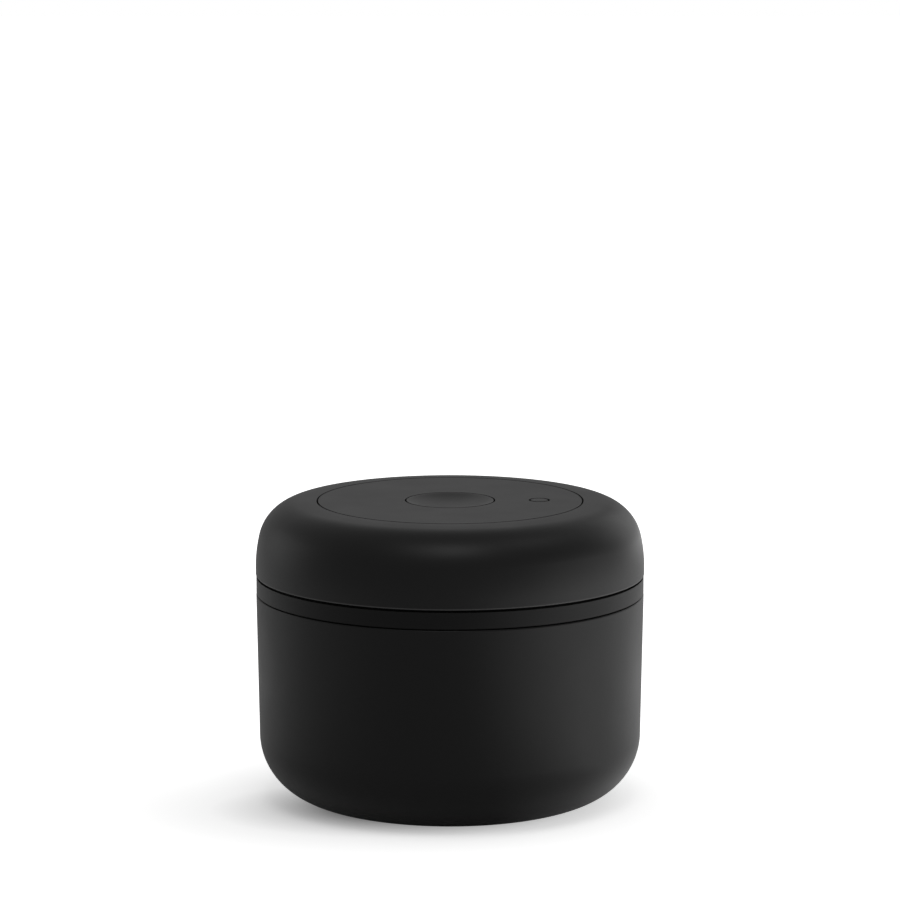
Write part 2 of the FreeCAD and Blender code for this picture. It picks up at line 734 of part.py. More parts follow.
def make_pump_block():
    guide_z = "tube_top_z - tube_guide"
    body = round_part("pump_block", [
        ("stem_radius + stem_air_gap", "block_z"),
        ("fork_radius", "block_z"),
        ("fork_radius", "deck_z"),
        ("tube_radius", "deck_z"),
        ("tube_radius", "tube_top_z"),
        ("stem_radius + stem_running_gap", "tube_top_z"),
        ("stem_radius + stem_running_gap", guide_z),
        ("stem_radius + stem_air_gap", guide_z),
    ])
    vent = new_sketch(body, "XZ_Plane")
    add_circle(vent, "0", "deck_z + vent_diameter", "vent_diameter / 2")
    pocket(body, vent, "tube_radius + overlap")
    # Pin guides: upright walls outside the cylinders, slotted for the follower pins
    half_width = "fork_width / 2"
    half_slot = "pin_diameter / 2 + pin_clearance / 2"
    for half in (1, -1):
        wall = new_sketch(body, "XY_Plane", "deck_z - overlap")
        add_outline(wall, [
            (f"{half} * ({half_slot})", "fork_inner_radius"),
            (f"{half} * {half_width}", "fork_inner_radius"),
            (f"{half} * {half_width}", f"sqrt(fork_radius ^ 2 - ({half_width}) ^ 2)",
             "0", "0", "fork_radius"),
            (f"{half} * ({half_slot})", f"sqrt(fork_radius ^ 2 - ({half_slot}) ^ 2)"),
        ])
        walls = pad(body, wall, "fork_top_z - deck_z + overlap")
        repeat_round(body, walls, len(PUMP_ANGLES), 180)
    cylinders = add_posts(body, "0", "pump_radius", "cylinder_radius", "bore_radius",
                          "deck_z - overlap", "cylinder_top_z")
    repeat_round(body, cylinders, len(PUMP_ANGLES), 180)
    add_posts(body, "indicator_x", "0", "chamber_radius", "chamber_bore / 2",
              "deck_z - overlap", "chamber_top_z")
    drill(body, "indicator_x", "0", "chamber_port / 2", "block_z", "deck_z")
    posts = add_posts(body, "tie_x", "tie_x", "tie_boss / 2", None,
                      "deck_z - overlap", "cylinder_top_z")
    repeat_round(body, posts, CORNER_SCREWS)
    tie_holes = drill(body, "tie_x", "tie_x", "tie_hole_radius", "block_z", "cylinder_top_z")
    repeat_round(body, tie_holes, CORNER_SCREWS)
    intakes = new_sketch(body, "XY_Plane", "block_z")
    add_circle(intakes, "0", "pump_radius", "umbrella_stem / 2 + fit_gap")
    for index in range(VALVE_HOLES):
        angle = 30 + index * 360 / VALVE_HOLES
        add_circle(intakes, f"intake_circle / 2 * cos({angle})",
                   f"pump_radius + intake_circle / 2 * sin({angle})", "intake_hole / 2")
    intake_holes = pocket(body, intakes, "deck_thickness", upward=True)
    repeat_round(body, intake_holes, len(PUMP_ANGLES), 180)


def make_face_plate():
    body = round_part("face_plate", [
        ("button_hole_radius", "top_z - seam_round",
         "button_hole_radius + seam_round", "top_z - seam_round", "seam_round"),
        ("button_hole_radius + seam_round", "top_z"),
        ("face_radius - seam_round", "top_z",
         "face_radius - seam_round", "top_z - seam_round", "seam_round"),
        ("face_radius", "top_z - seam_round"),
        ("face_radius", "face_z"),
        ("button_hole_radius + guide_wall", "face_z"),
        ("button_hole_radius + guide_wall", "face_z - guide_depth"),
        ("button_hole_radius", "face_z - guide_depth"),
    ])
    posts = add_posts(body, "tie_x", "tie_x", "tie_boss / 2", None,
                      "cylinder_top_z", "face_z + overlap")
    repeat_round(body, posts, CORNER_SCREWS)
    pilots = drill(body, "tie_x", "tie_x", "tie_pilot_radius",
                   "cylinder_top_z", "cylinder_top_z + tie_grip")
    repeat_round(body, pilots, CORNER_SCREWS)
    add_posts(body, "indicator_x", "0", "indicator_hole_radius + sleeve_wall", None,
              "sleeve_z", "face_z + overlap")
    drill(body, "indicator_x", "0", "indicator_hole_radius", "sleeve_z", "top_z")


def make_tie_screws():
    screws = []
    seals = []
    length = "cylinder_top_z - tie_head_z + tie_grip - overlap"
    for x, y in around("tie_radius", CORNER_SCREWS, 45):
        screws.append(screw("tie_screw", x, y, "tie_head_z", "tie_screw", length,
                            "tie_head", "tie_head_height", "tie_key"))
        disc = cylinder("tie_seal_disc", "tie_head / 2", "screw_seal_thickness", x, y, "tie_head_z")
        hole = cylinder("tie_seal_hole", "tie_pilot_radius", "screw_seal_thickness", x, y, "tie_head_z")
        seal = doc.addObject("Part::Cut", "tie_seal")
        seal.Base = disc
        seal.Tool = hole
        seals.append(seal)
    group("tie_screws", screws)
    group("tie_screw_seals", seals)


def make_cover_screws():
    screws = []
    seat = "plug_bottom_z + screw_head_height / 2"
    for x, y in around("cover_screw_radius", CORNER_SCREWS, 45):
        screws.append(screw("cover_screw", x, y, seat, "screw_diameter", "screw_grip",
                            "screw_head", "screw_head_height / 2", "screw_key"))
    group("cover_screws", screws)


# Cap and cam

def make_cap_shell():
    inner_side = ("cap_inner_radius", "shoulder_z", "side_x", "shoulder_z", "inner_side")
    inner_corner = ("side_x + inner_side * side_dir_x", "shoulder_z + inner_side * side_dir_z",
                    "dome_x", "dome_z", "inner_corner_radius")
    inner_crown = ("crown_x + inner_crown * crown_dir_x", "crown_z + inner_crown * crown_dir_z",
                   "crown_x", "crown_z", "inner_crown")
    body = round_part("cap_shell", [
        ("crown_x", "top_z", "crown_x", "crown_z", "crown_radius"),
        ("crown_x + crown_radius * crown_dir_x", "crown_z + crown_radius * crown_dir_z",
         "dome_x", "dome_z", "corner_radius"),
        ("side_x + side_radius * side_dir_x", "shoulder_z + side_radius * side_dir_z",
         "side_x", "shoulder_z", "side_radius"),
        ("cap_radius", "shoulder_z"),
        ("cap_radius", "cap_bottom_z + cap_lip_round",
         "cap_radius - cap_lip_round", "cap_bottom_z + cap_lip_round", "cap_lip_round"),
        ("cap_radius - cap_lip_round", "cap_bottom_z"),
        ("cap_inner_radius", "cap_bottom_z"),
        inner_side,
        inner_corner,
        inner_crown,
        ("ledge_root_radius", "ledge_root_z"),
        ("ledge_root_radius", "ledge_bottom_z"),
        ("ledge_radius", "ledge_bottom_z"),
        ("ledge_radius", "ledge_z"),
        ("opening_radius", "ledge_z"),
        ("opening_radius", "top_z - seam_round", "crown_x", "top_z - seam_round", "seam_round"),
    ])
    posts = add_posts(body, "cam_screw_radius", "0", "screw_boss / 2", None,
                      "flange_top_z", "cam_boss_top_z")
    repeat_round(body, posts, CAM_SCREWS)
    pilots = drill(body, "cam_screw_radius", "0", "screw_pilot_radius",
                   "flange_top_z", "flange_top_z + cam_grip")
    repeat_round(body, pilots, CAM_SCREWS)


def make_cam_ring():
    body = round_part("cam_ring", [
        ("cam_inner_radius", "cam_z"),
        ("cam_radius", "cam_z"),
        ("cam_radius", "cam_top_z"),
        ("flange_radius", "cam_top_z"),
        ("flange_radius", "flange_top_z"),
        ("cam_inner_radius", "flange_top_z"),
    ])
    screw_holes = drill(body, "cam_screw_radius", "0", "screw_hole_radius", "cam_top_z", "flange_top_z")
    repeat_round(body, screw_holes, CAM_SCREWS)
    # Each slot starts low and climbs clockwise past the pin of its pump
    start = f"{PUMP_ANGLES[0]} + slot_sweep / 2"
    low = "pin_z - slot_rise / 2 - slot_height / 2"
    profile = new_sketch(body, "XZ_Plane")
    upright = FreeCAD.Rotation(FreeCAD.Vector(0, 1, 0), number(start))
    profile.AttachmentOffset = FreeCAD.Placement(FreeCAD.Vector(), upright)
    bind(profile, "AttachmentOffset.Rotation.Angle", start)
    add_outline(profile, [
        ("cam_inner_radius - overlap", low),
        ("cam_radius + overlap", low),
        ("cam_radius + overlap", f"{low} + slot_height"),
        ("cam_inner_radius - overlap", f"{low} + slot_height"),
    ])
    slot = body.newObject("PartDesign::SubtractiveHelix", "cam_slot")
    slot.Profile = profile
    slot.ReferenceAxis = (profile, ["V_Axis"])
    slot.Mode = "height-turns-angle"
    slot.LeftHanded = True
    slot.Angle = 0
    bind(slot, "Height", "slot_rise")
    bind(slot, "Turns", "slot_sweep / 360")
    doc.recompute()
    repeat_round(body, slot, len(PUMP_ANGLES), 180)


def make_cam_screws():
    screws = []
    for x, y in around("cam_screw_radius", CAM_SCREWS):
        screws.append(screw("cam_screw", x, y, "cam_top_z", "screw_diameter",
                            "flange_thickness + cam_grip - overlap",
                            "screw_head", "screw_head_height", "screw_key"))
    group("cam_screws", screws)


# Pumps

def make_pump(index, angle):
    piston_radius = "bore_radius - piston_gap"
    groove_z = "crown_thickness / 2"
    piston = round_part(f"piston_{index}", [
        ("0", "0"),
        (piston_radius, "0"),
        (piston_radius, f"{groove_z} - groove_half"),
        ("groove_radius", f"{groove_z} - groove_half"),
        ("groove_radius", f"{groove_z} + groove_half"),
        (piston_radius, f"{groove_z} + groove_half"),
        (piston_radius, "crown_thickness"),
        ("rod_radius", "crown_thickness"),
        ("rod_radius", "pin_rise + rod_overhang"),
        ("0", "pin_rise + rod_overhang"),
    ])
    holes = drill(piston, "exhaust_radius", "0", "exhaust_hole / 2", "0", "crown_thickness")
    repeat_round(piston, holes, VALVE_HOLES)
    cross = new_sketch(piston, "YZ_Plane", "rod_radius + overlap")
    add_circle(cross, "0", "pin_rise", "pin_radius + fit_gap")
    pocket(piston, cross, "rod_diameter + 2 * overlap")
    place_at_pump(piston, angle, "crown_rest_z")

    seal = doc.addObject("Part::Torus", f"piston_seal_{index}")
    seal.Label = f"piston_seal_{index}"
    bind(seal, "Radius1", "seal_radius")
    bind(seal, "Radius2", "seal_section / 2")
    place_at_pump(seal, angle, f"crown_rest_z + {groove_z}")
    nodes.append(seal)

    flap = make_ring(f"exhaust_valve_{index}", "rod_radius + fit_gap", "flap_radius",
                     "0", "flap_thickness")
    place_at_pump(flap, angle, "crown_rest_z + crown_thickness")

    pin = new_body(f"follower_pin_{index}")
    inner_end = "pin_inset - rod_radius"
    outer_end = "cam_radius - pump_radius - pin_inset"
    revolve(pin, [
        (inner_end, "0"),
        (outer_end, "0"),
        (outer_end, "pin_radius - pin_chamfer"),
        (f"{outer_end} - pin_chamfer", "pin_radius"),
        (f"{inner_end} + pin_chamfer", "pin_radius"),
        (inner_end, "pin_radius - pin_chamfer"),
    ], axis="H_Axis")
    place_at_pump(pin, angle, "pin_z")

    umbrella = round_part(f"intake_valve_{index}", [
        ("0", "umbrella_crown"),
        ("umbrella_diameter / 4", "umbrella_crown"),
        ("umbrella_diameter / 2", "umbrella_edge"),
        ("umbrella_diameter / 2", "0"),
        ("umbrella_stem / 2", "0"),
        ("umbrella_stem / 2", "0 - deck_thickness"),
        ("umbrella_bulb / 2", "0 - deck_thickness"),
        ("umbrella_stem / 2", "0 - deck_thickness - bulb_length"),
        ("0", "0 - deck_thickness - bulb_length"),
    ])
    place_at_pump(umbrella, angle, "deck_z")


# Release valve

def make_release_valve():
    socket_z = "button_under_z - stem_socket"
    round_part("release_button", [
        ("0", "top_z - button_dish", "0", "top_z - button_dish + dish_sphere", "dish_sphere"),
        ("dish_radius", "top_z"),
        ("button_radius - seam_round", "top_z",
         "button_radius - seam_round", "top_z - seam_round", "seam_round"),
        ("button_radius", "top_z - seam_round"),
        ("button_radius", "skirt_z"),
        ("button_radius - button_wall", "skirt_z"),
        ("button_radius - button_wall", "button_under_z"),
        ("socket_radius + socket_wall", "button_under_z"),
        ("socket_radius + socket_wall", socket_z),
        ("socket_radius", socket_z),
        ("socket_radius", "button_under_z"),
        ("0", "button_under_z"),
    ])
    round_part("release_stem", [
        ("0", "clip_z - stem_tail"),
        ("spigot_radius", "clip_z - stem_tail"),
        ("spigot_radius", "floor_z"),
        ("stem_radius", "floor_z"),
        ("stem_radius", "button_under_z"),
        ("0", "button_under_z"),
    ])
    make_ring("release_poppet", "spigot_radius + fit_gap", "poppet_diameter / 2", "poppet_z", "floor_z")
    make_ring("stem_clip", "spigot_radius + fit_gap", "clip_diameter / 2", "clip_z", "poppet_z")
    spring("release_spring", "release_coil", "release_wire", RELEASE_TURNS,
           "tube_top_z", "button_under_z", "0")


# Vacuum indicator

def make_indicator():
    flange_z = "sleeve_z - indicator_flange_height"
    pin = round_part("indicator_pin", [
        ("0", "top_z"),
        ("indicator_radius - seam_round", "top_z",
         "indicator_radius - seam_round", "top_z - seam_round", "seam_round"),
        ("indicator_radius", "top_z - seam_round"),
        ("indicator_radius", "sleeve_z"),
        ("indicator_flange / 2", "sleeve_z"),
        ("indicator_flange / 2", flange_z),
        ("indicator_rod / 2", flange_z),
        ("indicator_rod / 2", "hub_socket_z"),
        ("0", "hub_socket_z"),
    ])
    diaphragm = round_part("indicator_diaphragm", [
        ("0", "hub_z"),
        ("hub_radius", "hub_z"),
        ("hub_radius", "web_z"),
        ("bead_radius", "web_z"),
        ("bead_radius", "chamber_top_z"),
        ("chamber_radius", "chamber_top_z"),
        ("chamber_radius", "bead_top_z"),
        ("bead_radius", "bead_top_z"),
        ("bead_radius", "web_z + web_thickness"),
        ("hub_radius", "web_z + web_thickness"),
        ("hub_radius", "hub_top_z"),
        ("hub_socket_radius", "hub_top_z"),
        ("hub_socket_radius", "hub_socket_z"),
        ("0", "hub_socket_z"),
    ])
    clamp = round_part("diaphragm_ring", [
        ("chamber_radius + fit_gap", "chamber_top_z - clamp_skirt"),
        ("clamp_radius", "chamber_top_z - clamp_skirt"),
        ("clamp_radius", "bead_top_z + clamp_wall"),
        ("bead_radius", "bead_top_z + clamp_wall"),
        ("bead_radius", "bead_top_z"),
        ("chamber_radius + fit_gap", "bead_top_z"),
    ])
    for item in (pin, diaphragm, clamp):
        place(item, "indicator_x", "0", "0")
    spring("indicator_spring", "indicator_coil", "indicator_wire", INDICATOR_TURNS,
           "deck_z", "hub_z", "indicator_x")


def check_and_export():
    doc.recompute()
    for item in doc.Objects:
        if "Invalid" in item.State or "Error" in item.State:
            raise ValueError(f"{item.Label}: {item.State}")
    for node in nodes:
        if node.Shape.isNull() or not node.Shape.isValid():
            raise ValueError(f"{node.Label}: bad shape")
    os.makedirs("parts", exist_ok=True)
    for node in nodes:
        node.Shape.exportStep(f"parts/{node.Label}.step")
    print(f"{len(nodes)} sub-parts written")


make_canister_shell()
make_lid_base()
make_main_gasket()
make_ring("glide_ring", "glide_radius", "glide_radius + glide_width",
          "band_top_z", "cap_bottom_z - glide_play")
make_valve_cover()
make_ring("dust_screen", "0", "screen_radius", "cover_top_z", "screen_top_z")
make_cover_screws()
make_block_gasket()
make_pump_block()
make_face_plate()
make_tie_screws()
make_cap_shell()
make_cam_ring()
make_cam_screws()
for pump_index, pump_angle in enumerate(PUMP_ANGLES, start=1):
    make_pump(pump_index, pump_angle)
make_release_valve()
make_indicator()
check_and_export()
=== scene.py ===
import json
import math

import bpy
from bpy.props import FloatProperty, FloatVectorProperty, IntProperty, PointerProperty
from bpy.types import Operator, Panel, PropertyGroup
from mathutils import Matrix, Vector

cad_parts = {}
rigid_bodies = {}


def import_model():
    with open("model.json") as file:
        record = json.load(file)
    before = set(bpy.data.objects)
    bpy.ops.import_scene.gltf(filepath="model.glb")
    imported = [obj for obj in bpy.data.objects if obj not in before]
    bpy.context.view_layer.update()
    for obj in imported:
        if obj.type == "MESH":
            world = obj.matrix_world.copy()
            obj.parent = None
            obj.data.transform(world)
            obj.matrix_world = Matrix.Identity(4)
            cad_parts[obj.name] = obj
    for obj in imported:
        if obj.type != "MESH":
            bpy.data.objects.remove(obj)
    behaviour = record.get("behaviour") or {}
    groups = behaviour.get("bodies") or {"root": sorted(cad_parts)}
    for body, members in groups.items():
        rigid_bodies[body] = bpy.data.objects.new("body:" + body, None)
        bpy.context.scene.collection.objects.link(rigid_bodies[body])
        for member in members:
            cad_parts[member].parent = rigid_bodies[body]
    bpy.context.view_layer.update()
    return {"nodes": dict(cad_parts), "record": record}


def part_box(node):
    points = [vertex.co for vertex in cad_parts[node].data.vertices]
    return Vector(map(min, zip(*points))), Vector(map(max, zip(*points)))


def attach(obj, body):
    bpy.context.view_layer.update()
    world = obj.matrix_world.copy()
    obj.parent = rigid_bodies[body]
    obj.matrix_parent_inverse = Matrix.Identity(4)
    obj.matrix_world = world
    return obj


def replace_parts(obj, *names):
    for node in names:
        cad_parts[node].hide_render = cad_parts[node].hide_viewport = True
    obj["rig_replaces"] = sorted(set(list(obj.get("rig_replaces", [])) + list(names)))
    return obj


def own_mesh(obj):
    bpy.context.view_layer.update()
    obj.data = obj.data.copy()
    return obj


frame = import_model()

bl_info = {
    "name": "Vacuum coffee canister",
    "version": (1, 0, 0),
    "blender": (4, 5, 0),
    "location": "View3D > Sidebar > Canister",
    "description": "Models a matt black vacuum coffee canister with a twist-pump lid and sets its stage",
    "category": "Add Mesh",
}

# A millimetre in metres, and the two ends of a box
MM = 0.001
LOW = 0
HIGH = 1

# Steps round circles and along arcs, and how the meshes are merged and smoothed
ROUND_STEPS = 192
SMALL_STEPS = 48
PIN_STEPS = 64
HOLE_STEPS = 20
WIRE_STEPS = 14
COIL_STEPS = 40
EDGE_STEPS = 5
ARC_STEP = math.radians(1.5)
SMOOTH_ANGLE = math.radians(30)
MERGE = 2e-6

# How much of a face's normal has to point outwards or upwards for the face to count as such
OUTWARD = 0.5
UPWARD = 0.5

# Numbers of like pieces and sides
PUMP_NUMBERS = (1, 2, 3)
CAM_SCREWS = 3
HEXAGON = 6

# The sRGB curve: where its straight foot ends, the slope of the foot, and the offset and power above it
FOOT_END = 0.04045
FOOT_SLOPE = 12.92
CURVE_OFFSET = 0.055
CURVE_POWER = 2.4

# Noise in the finishes: how fine it is, the range where most of it lies, and what drifts over a cloud's width
CLOUD = 14 * MM
CLOUD_DETAIL = 3.0
GRAIN_DETAIL = 2.0
NOISE_LOW = 0.3
NOISE_HIGH = 0.7
GLOSS_DRIFT = 0.015
TONE_DRIFT = 0.05

# Stage
SENSOR = 36.0
CARD_LIFT = 2 * MM
WHITE = (1.0, 1.0, 1.0, 1.0)


# Readings from the frame, in metres

def level(node, end):
    """Lowest or highest level of a CAD node."""
    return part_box(node)[end].z


def width(node):
    """Extent of a CAD node along X."""
    low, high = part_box(node)
    return high.x - low.x


def middle(node):
    """Centre of a CAD node seen from above."""
    low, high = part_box(node)
    return ((low.x + high.x) / 2, (low.y + high.y) / 2)


def slot_of(node):
    """Material slot that the record gives a CAD node."""
    for part in frame["record"]["subparts"]:
        if part["node"] == node:
            return part["material_slot"]
    raise ValueError(node)


# Sizes and colours that a user would change

def linear(code):
    """An sRGB hex colour such as "#1f1f20" as linear red, green, blue and alpha."""
    channels = []
    for start in (1, 3, 5):
        share = int(code[start:start + 2], 16) / 255
        if share <= FOOT_END:
            channels.append(share / FOOT_SLOPE)
        else:
            channels.append(((share + CURVE_OFFSET) / (1 + CURVE_OFFSET)) ** CURVE_POWER)
    return (*channels, 1.0)


def length(name, description, size):
    """A length in metres."""
    return FloatProperty(name=name, description=description, default=size, min=0.0, precision=5,
                         unit="LENGTH")


def angle(name, description, degrees):
    """An angle, given in degrees."""
    return FloatProperty(name=name, description=description, default=math.radians(degrees), subtype="ANGLE")


def count(name, description, number):
    """A whole number of like things."""
    return IntProperty(name=name, description=description, default=number, min=1)


def amount(name, description, value):
    """A share or a strength."""
    return FloatProperty(name=name, description=description, default=value, min=0.0)


def colour(name, description, code):
    """A colour, given as an sRGB hex value."""
    return FloatVectorProperty(name=name, description=description, default=linear(code),
                               size=4, min=0.0, max=1.0, subtype="COLOR")


class BowlSizes(PropertyGroup):
    """Sizes of the steel bowl"""
    rim_diameter: length("Rim diameter", "Outside of the bowl at its rim", width("canister_shell"))
    height: length("Height", "Height of the bowl", level("canister_shell", HIGH))
    wall: length("Wall", "Thickness of the steel", 1.0 * MM)
    base_corner: length("Base corner", "Radius of the bottom corner", 20.2 * MM)
    rim_round: length("Rim round", "Radius of the rim's edges", 0.45 * MM)
    draft: angle("Draft", "Taper of the wall", 1.05)


class LidSizes(PropertyGroup):
    """Sizes of the lid base, its rings and the plate under it"""
    band_diameter: length("Band diameter", "Outside of the band between bowl and cap", width("lid_base"))
    band_round: length("Band round", "Radius of the band's edges", 0.1 * MM)
    rim_seam: length("Rim seam", "Height of the fine groove where the band meets the bowl", 0.35 * MM)
    rim_seam_depth: length("Rim seam depth", "Depth of the grooves along both edges of the band", 1.0 * MM)
    cap_seam: length("Cap seam", "How far the band's top edge stays below the glide ring", 0.12 * MM)
    glide_recess: length("Glide recess", "How far the glide ring stands back in its seam", 0.6 * MM)
    mould_round: length("Mould round", "Radius of the other moulded edges", 0.3 * MM)
    plug_diameter: length("Plug diameter", "Outside of the plug that goes down into the bowl", 114.4 * MM)
    plug_wall: length("Plug wall", "Thickness of the plug's wall", 3.8 * MM)
    plug_round: length("Plug round", "Radius of the plug's lower edge", 0.5 * MM)
    collar_diameter: length("Collar diameter", "Outside of the collar that the cap turns on", 114.8 * MM)
    collar_wall: length("Collar wall", "Thickness of the collar", 2.2 * MM)
    collar_slope: length("Collar slope", "Height of the slope inside the collar", 1.8 * MM)
    seat_bore: length("Seat bore", "Hole that the release poppet closes", 6.0 * MM)
    port: length("Port", "Holes under the pumps and the indicator", 11.0 * MM)
    gasket_depth: length("Gasket depth", "Depth of the gasket's groove", 1.8 * MM)
    gasket_fit: length("Gasket fit", "Room between gasket and groove", 0.02 * MM)
    lip_start: length("Lip start", "Height of the first lip above the gasket's foot", 0.5 * MM)
    lip_pitch: length("Lip pitch", "Step from one gasket lip to the next", 2.2 * MM)
    lip_rise: length("Lip rise", "How far a lip climbs to its tip", 0.8 * MM)
    lip_tip: length("Lip tip", "Thickness of a lip at its tip", 0.5 * MM)
    lip_root: length("Lip root", "Thickness of a lip at its root", 1.2 * MM)
    lip_tip_round: amount("Lip tip round", "Radius of a lip's tip as a share of its thickness", 1 / 3)
    lips: count("Lips", "Lips on the gasket", 2)
    cover_hole: length("Cover hole", "Hole in the perforated plate", 2.4 * MM)
    cover_pitch: length("Cover pitch", "Step from one ring of holes to the next", 9.0 * MM)
    cover_rings: count("Cover rings", "Rings of holes in the plate", 4)
    cover_first: count("First ring", "Holes in the first ring", 6)
    cover_bevel: length("Hole bevel", "Bevel along the plate's holes", 0.2 * MM)
    glide_round: amount("Glide round", "Radius of the glide ring's edges as a share of its height", 0.2)
    glide_width: length("Glide ring width", "Width of the ring in the seam under the cap", 1.4 * MM)


class ScrewSizes(PropertyGroup):
    """Sizes of the small screws and the posts that hold them"""
    post: length("Post", "Outside of a screw post", 5.6 * MM)
    shaft: length("Shaft", "Thread of a small screw", 2.2 * MM)
    fit: length("Fit", "Room round a thread in its pilot hole", 0.02 * MM)
    head: length("Head", "Head of a small screw", 4.2 * MM)
    head_height: length("Head height", "Height of the head under the plate", 0.8 * MM)
    head_round: length("Head round", "Radius of the head's edge", 0.15 * MM)
    key: length("Key", "Width across the flats of the socket", 1.5 * MM)
    key_depth: length("Key depth", "Depth of the socket", 0.4 * MM)
    clearance: length("Clearance", "Room round a screw in its hole", 0.2 * MM)
    tie_post: length("Tie post", "Outside of a post under the face plate", 6.8 * MM)
    tie_head: length("Tie head", "Head of a long tie screw", 5.6 * MM)
    tie_thread: length("Tie thread", "Thread of a long tie screw", 3.0 * MM)
    tie_grip: length("Tie grip", "Depth of a tie screw's pilot hole", 14.0 * MM)


class CapSizes(PropertyGroup):
    """Sizes of the cap and the flush plate in it"""
    diameter: length("Diameter", "Outside of the cap", width("cap_shell"))
    wall: length("Wall", "Thickness of the cap", 2.2 * MM)
    side: length("Straight side", "Height of the upright part of the cap's side", 2.2 * MM)
    lip_round: length("Lip round", "Radius of the cap's lower edge", 0.2 * MM)
    # Height of the strip along the lip that is painted paler as a highlight
    highlight_line_height: length("Painted highlight line", "Height of the painted highlight line along the cap's lower edge", 0.4 * MM)
    side_radius: length("Side radius", "Radius of the dome's side", 43.0 * MM)
    corner_radius: length("Corner radius", "Radius of the dome's corner", 13.3 * MM)
    crown_radius: length("Crown radius", "Radius of the dome's crown", 57.0 * MM)
    face_diameter: length("Face diameter", "Outside of the flush plate", width("face_plate"))
    face_gap: length("Face gap", "Seam round the flush plate", 0.45 * MM)
    face_thickness: length("Face thickness", "Thickness of the flush plate", 2.2 * MM)
    seam_round: length("Seam round", "Radius of the edges along the fine seams", 0.12 * MM)
    ledge_gap: length("Ledge gap", "Room between the plate and the cap's ledge", 0.3 * MM)
    ledge_thickness: length("Ledge thickness", "Thickness of the cap's ledge", 1.4 * MM)
    ledge_reach: length("Ledge reach", "How far the ledge goes in under the plate", 3.4 * MM)
    ledge_root: length("Ledge root", "How far the ledge runs out into the dome", 2.7 * MM)
    guide_wall: length("Guide wall", "Thickness of the button's guide", 1.8 * MM)
    guide_depth: length("Guide depth", "Depth of the button's guide below the plate", 7.3 * MM)
    sleeve_wall: length("Sleeve wall", "Wall of the indicator pin's guide", 1.6 * MM)
    sleeve_depth: length("Sleeve depth", "Depth of the pin's guide below the plate", 6.3 * MM)
    overlap: length("Overlap", "How far a post runs into the wall it stands on", 0.3 * MM)


class ValveSizes(PropertyGroup):
    """Sizes of the release button, the indicator pin and its diaphragm"""
    button_diameter: length("Button", "Outside of the release button", width("release_button"))
    button_gap: length("Button gap", "Seam round the button", 0.45 * MM)
    dish: length("Dish", "Depth of the hollow in the button", 2.2 * MM)
    dish_rim: length("Dish rim", "Flat rim round the hollow", 0.3 * MM)
    button_floor: length("Button floor", "Thickness of the button in the middle", 1.8 * MM)
    button_height: length("Button height", "Height of the button's skirt", 10.5 * MM)
    button_wall: length("Button wall", "Thickness of the button's skirt", 1.6 * MM)
    stem_diameter: length("Stem", "Diameter of the release stem", 3.24 * MM)
    socket_wall: length("Socket wall", "Wall of the socket that holds the stem", 1.6 * MM)
    pin_diameter: length("Pin", "Diameter of the indicator pin", 5.4 * MM)
    pin_gap: length("Pin gap", "Seam round the indicator pin", 0.6 * MM)
    pin_flange_height: length("Flange height", "Height of the flange that stops the pin", 1.4 * MM)
    pin_rod: length("Pin rod", "Diameter of the pin's rod", 2.8 * MM)
    hub_diameter: length("Hub", "Hub in the middle of the diaphragm", 5.6 * MM)
    hub_socket: length("Hub socket", "Depth of the socket in the hub", 1.8 * MM)
    web_thickness: length("Web", "Thickness of the diaphragm", 0.6 * MM)
    bead_height: length("Bead height", "Height of the diaphragm's bead", 1.2 * MM)
    bead_bore: length("Bead bore", "Inside of the diaphragm's bead", 10.6 * MM)
    web_round: amount("Web round", "Radius of the diaphragm's edges as a share of its thickness", 0.25)
    web_drop: length("Web drop", "Height of the web above the bead's foot", 0.3 * MM)
    hub_drop: length("Hub drop", "How far the hub hangs below the bead's foot", 0.8 * MM)


class SpringSizes(PropertyGroup):
    """Sizes of the two springs inside the lid"""
    release_wire: length("Release wire", "Wire of the button's spring", 0.8 * MM)
    release_turns: count("Release turns", "Turns of the button's spring", 7)
    release_travel: length("Release travel", "How far the button goes down", 2.5 * MM)
    indicator_wire: length("Indicator wire", "Wire of the indicator's spring", 0.5 * MM)
    indicator_turns: count("Indicator turns", "Turns of the indicator's spring", 6)
    indicator_travel: length("Indicator travel", "How far the indicator sinks", 2.0 * MM)


class Finishes(PropertyGroup):
    """Colours of the finishes"""
    coat: colour("Powder coat", "Matt black coat on the bowl", "#0a0a0a")
    paint: colour("Soft-touch paint", "Matt black paint on the cap and its face", "#0a0a0a")
    # Grey painted along the cap's lower edge as a highlight line, standing in for light that the edge catches
    lip_highlight: colour("Painted lip highlight", "Grey painted along the cap's lip as a highlight", "#383838")
    black_abs: colour("Black ABS", "Satin black of the lid base", "#080808")
    steel: colour("Steel", "Bare stainless steel", "#b9b7b3")
    silicone: colour("Silicone", "Grey of the gasket", "#8b8e90")
    grey_abs: colour("Grey ABS", "Grey of the pump block", "#737678")
    acetal: colour("Acetal", "White of the cam ring and pistons", "#dad9d3")
    rubber: colour("Rubber", "Black of the valves and seals", "#1b1b1b")
    nylon: colour("Nylon", "White of the dust screen", "#dddbd2")
    floor: colour("Floor", "Pale studio floor", "#efefef")


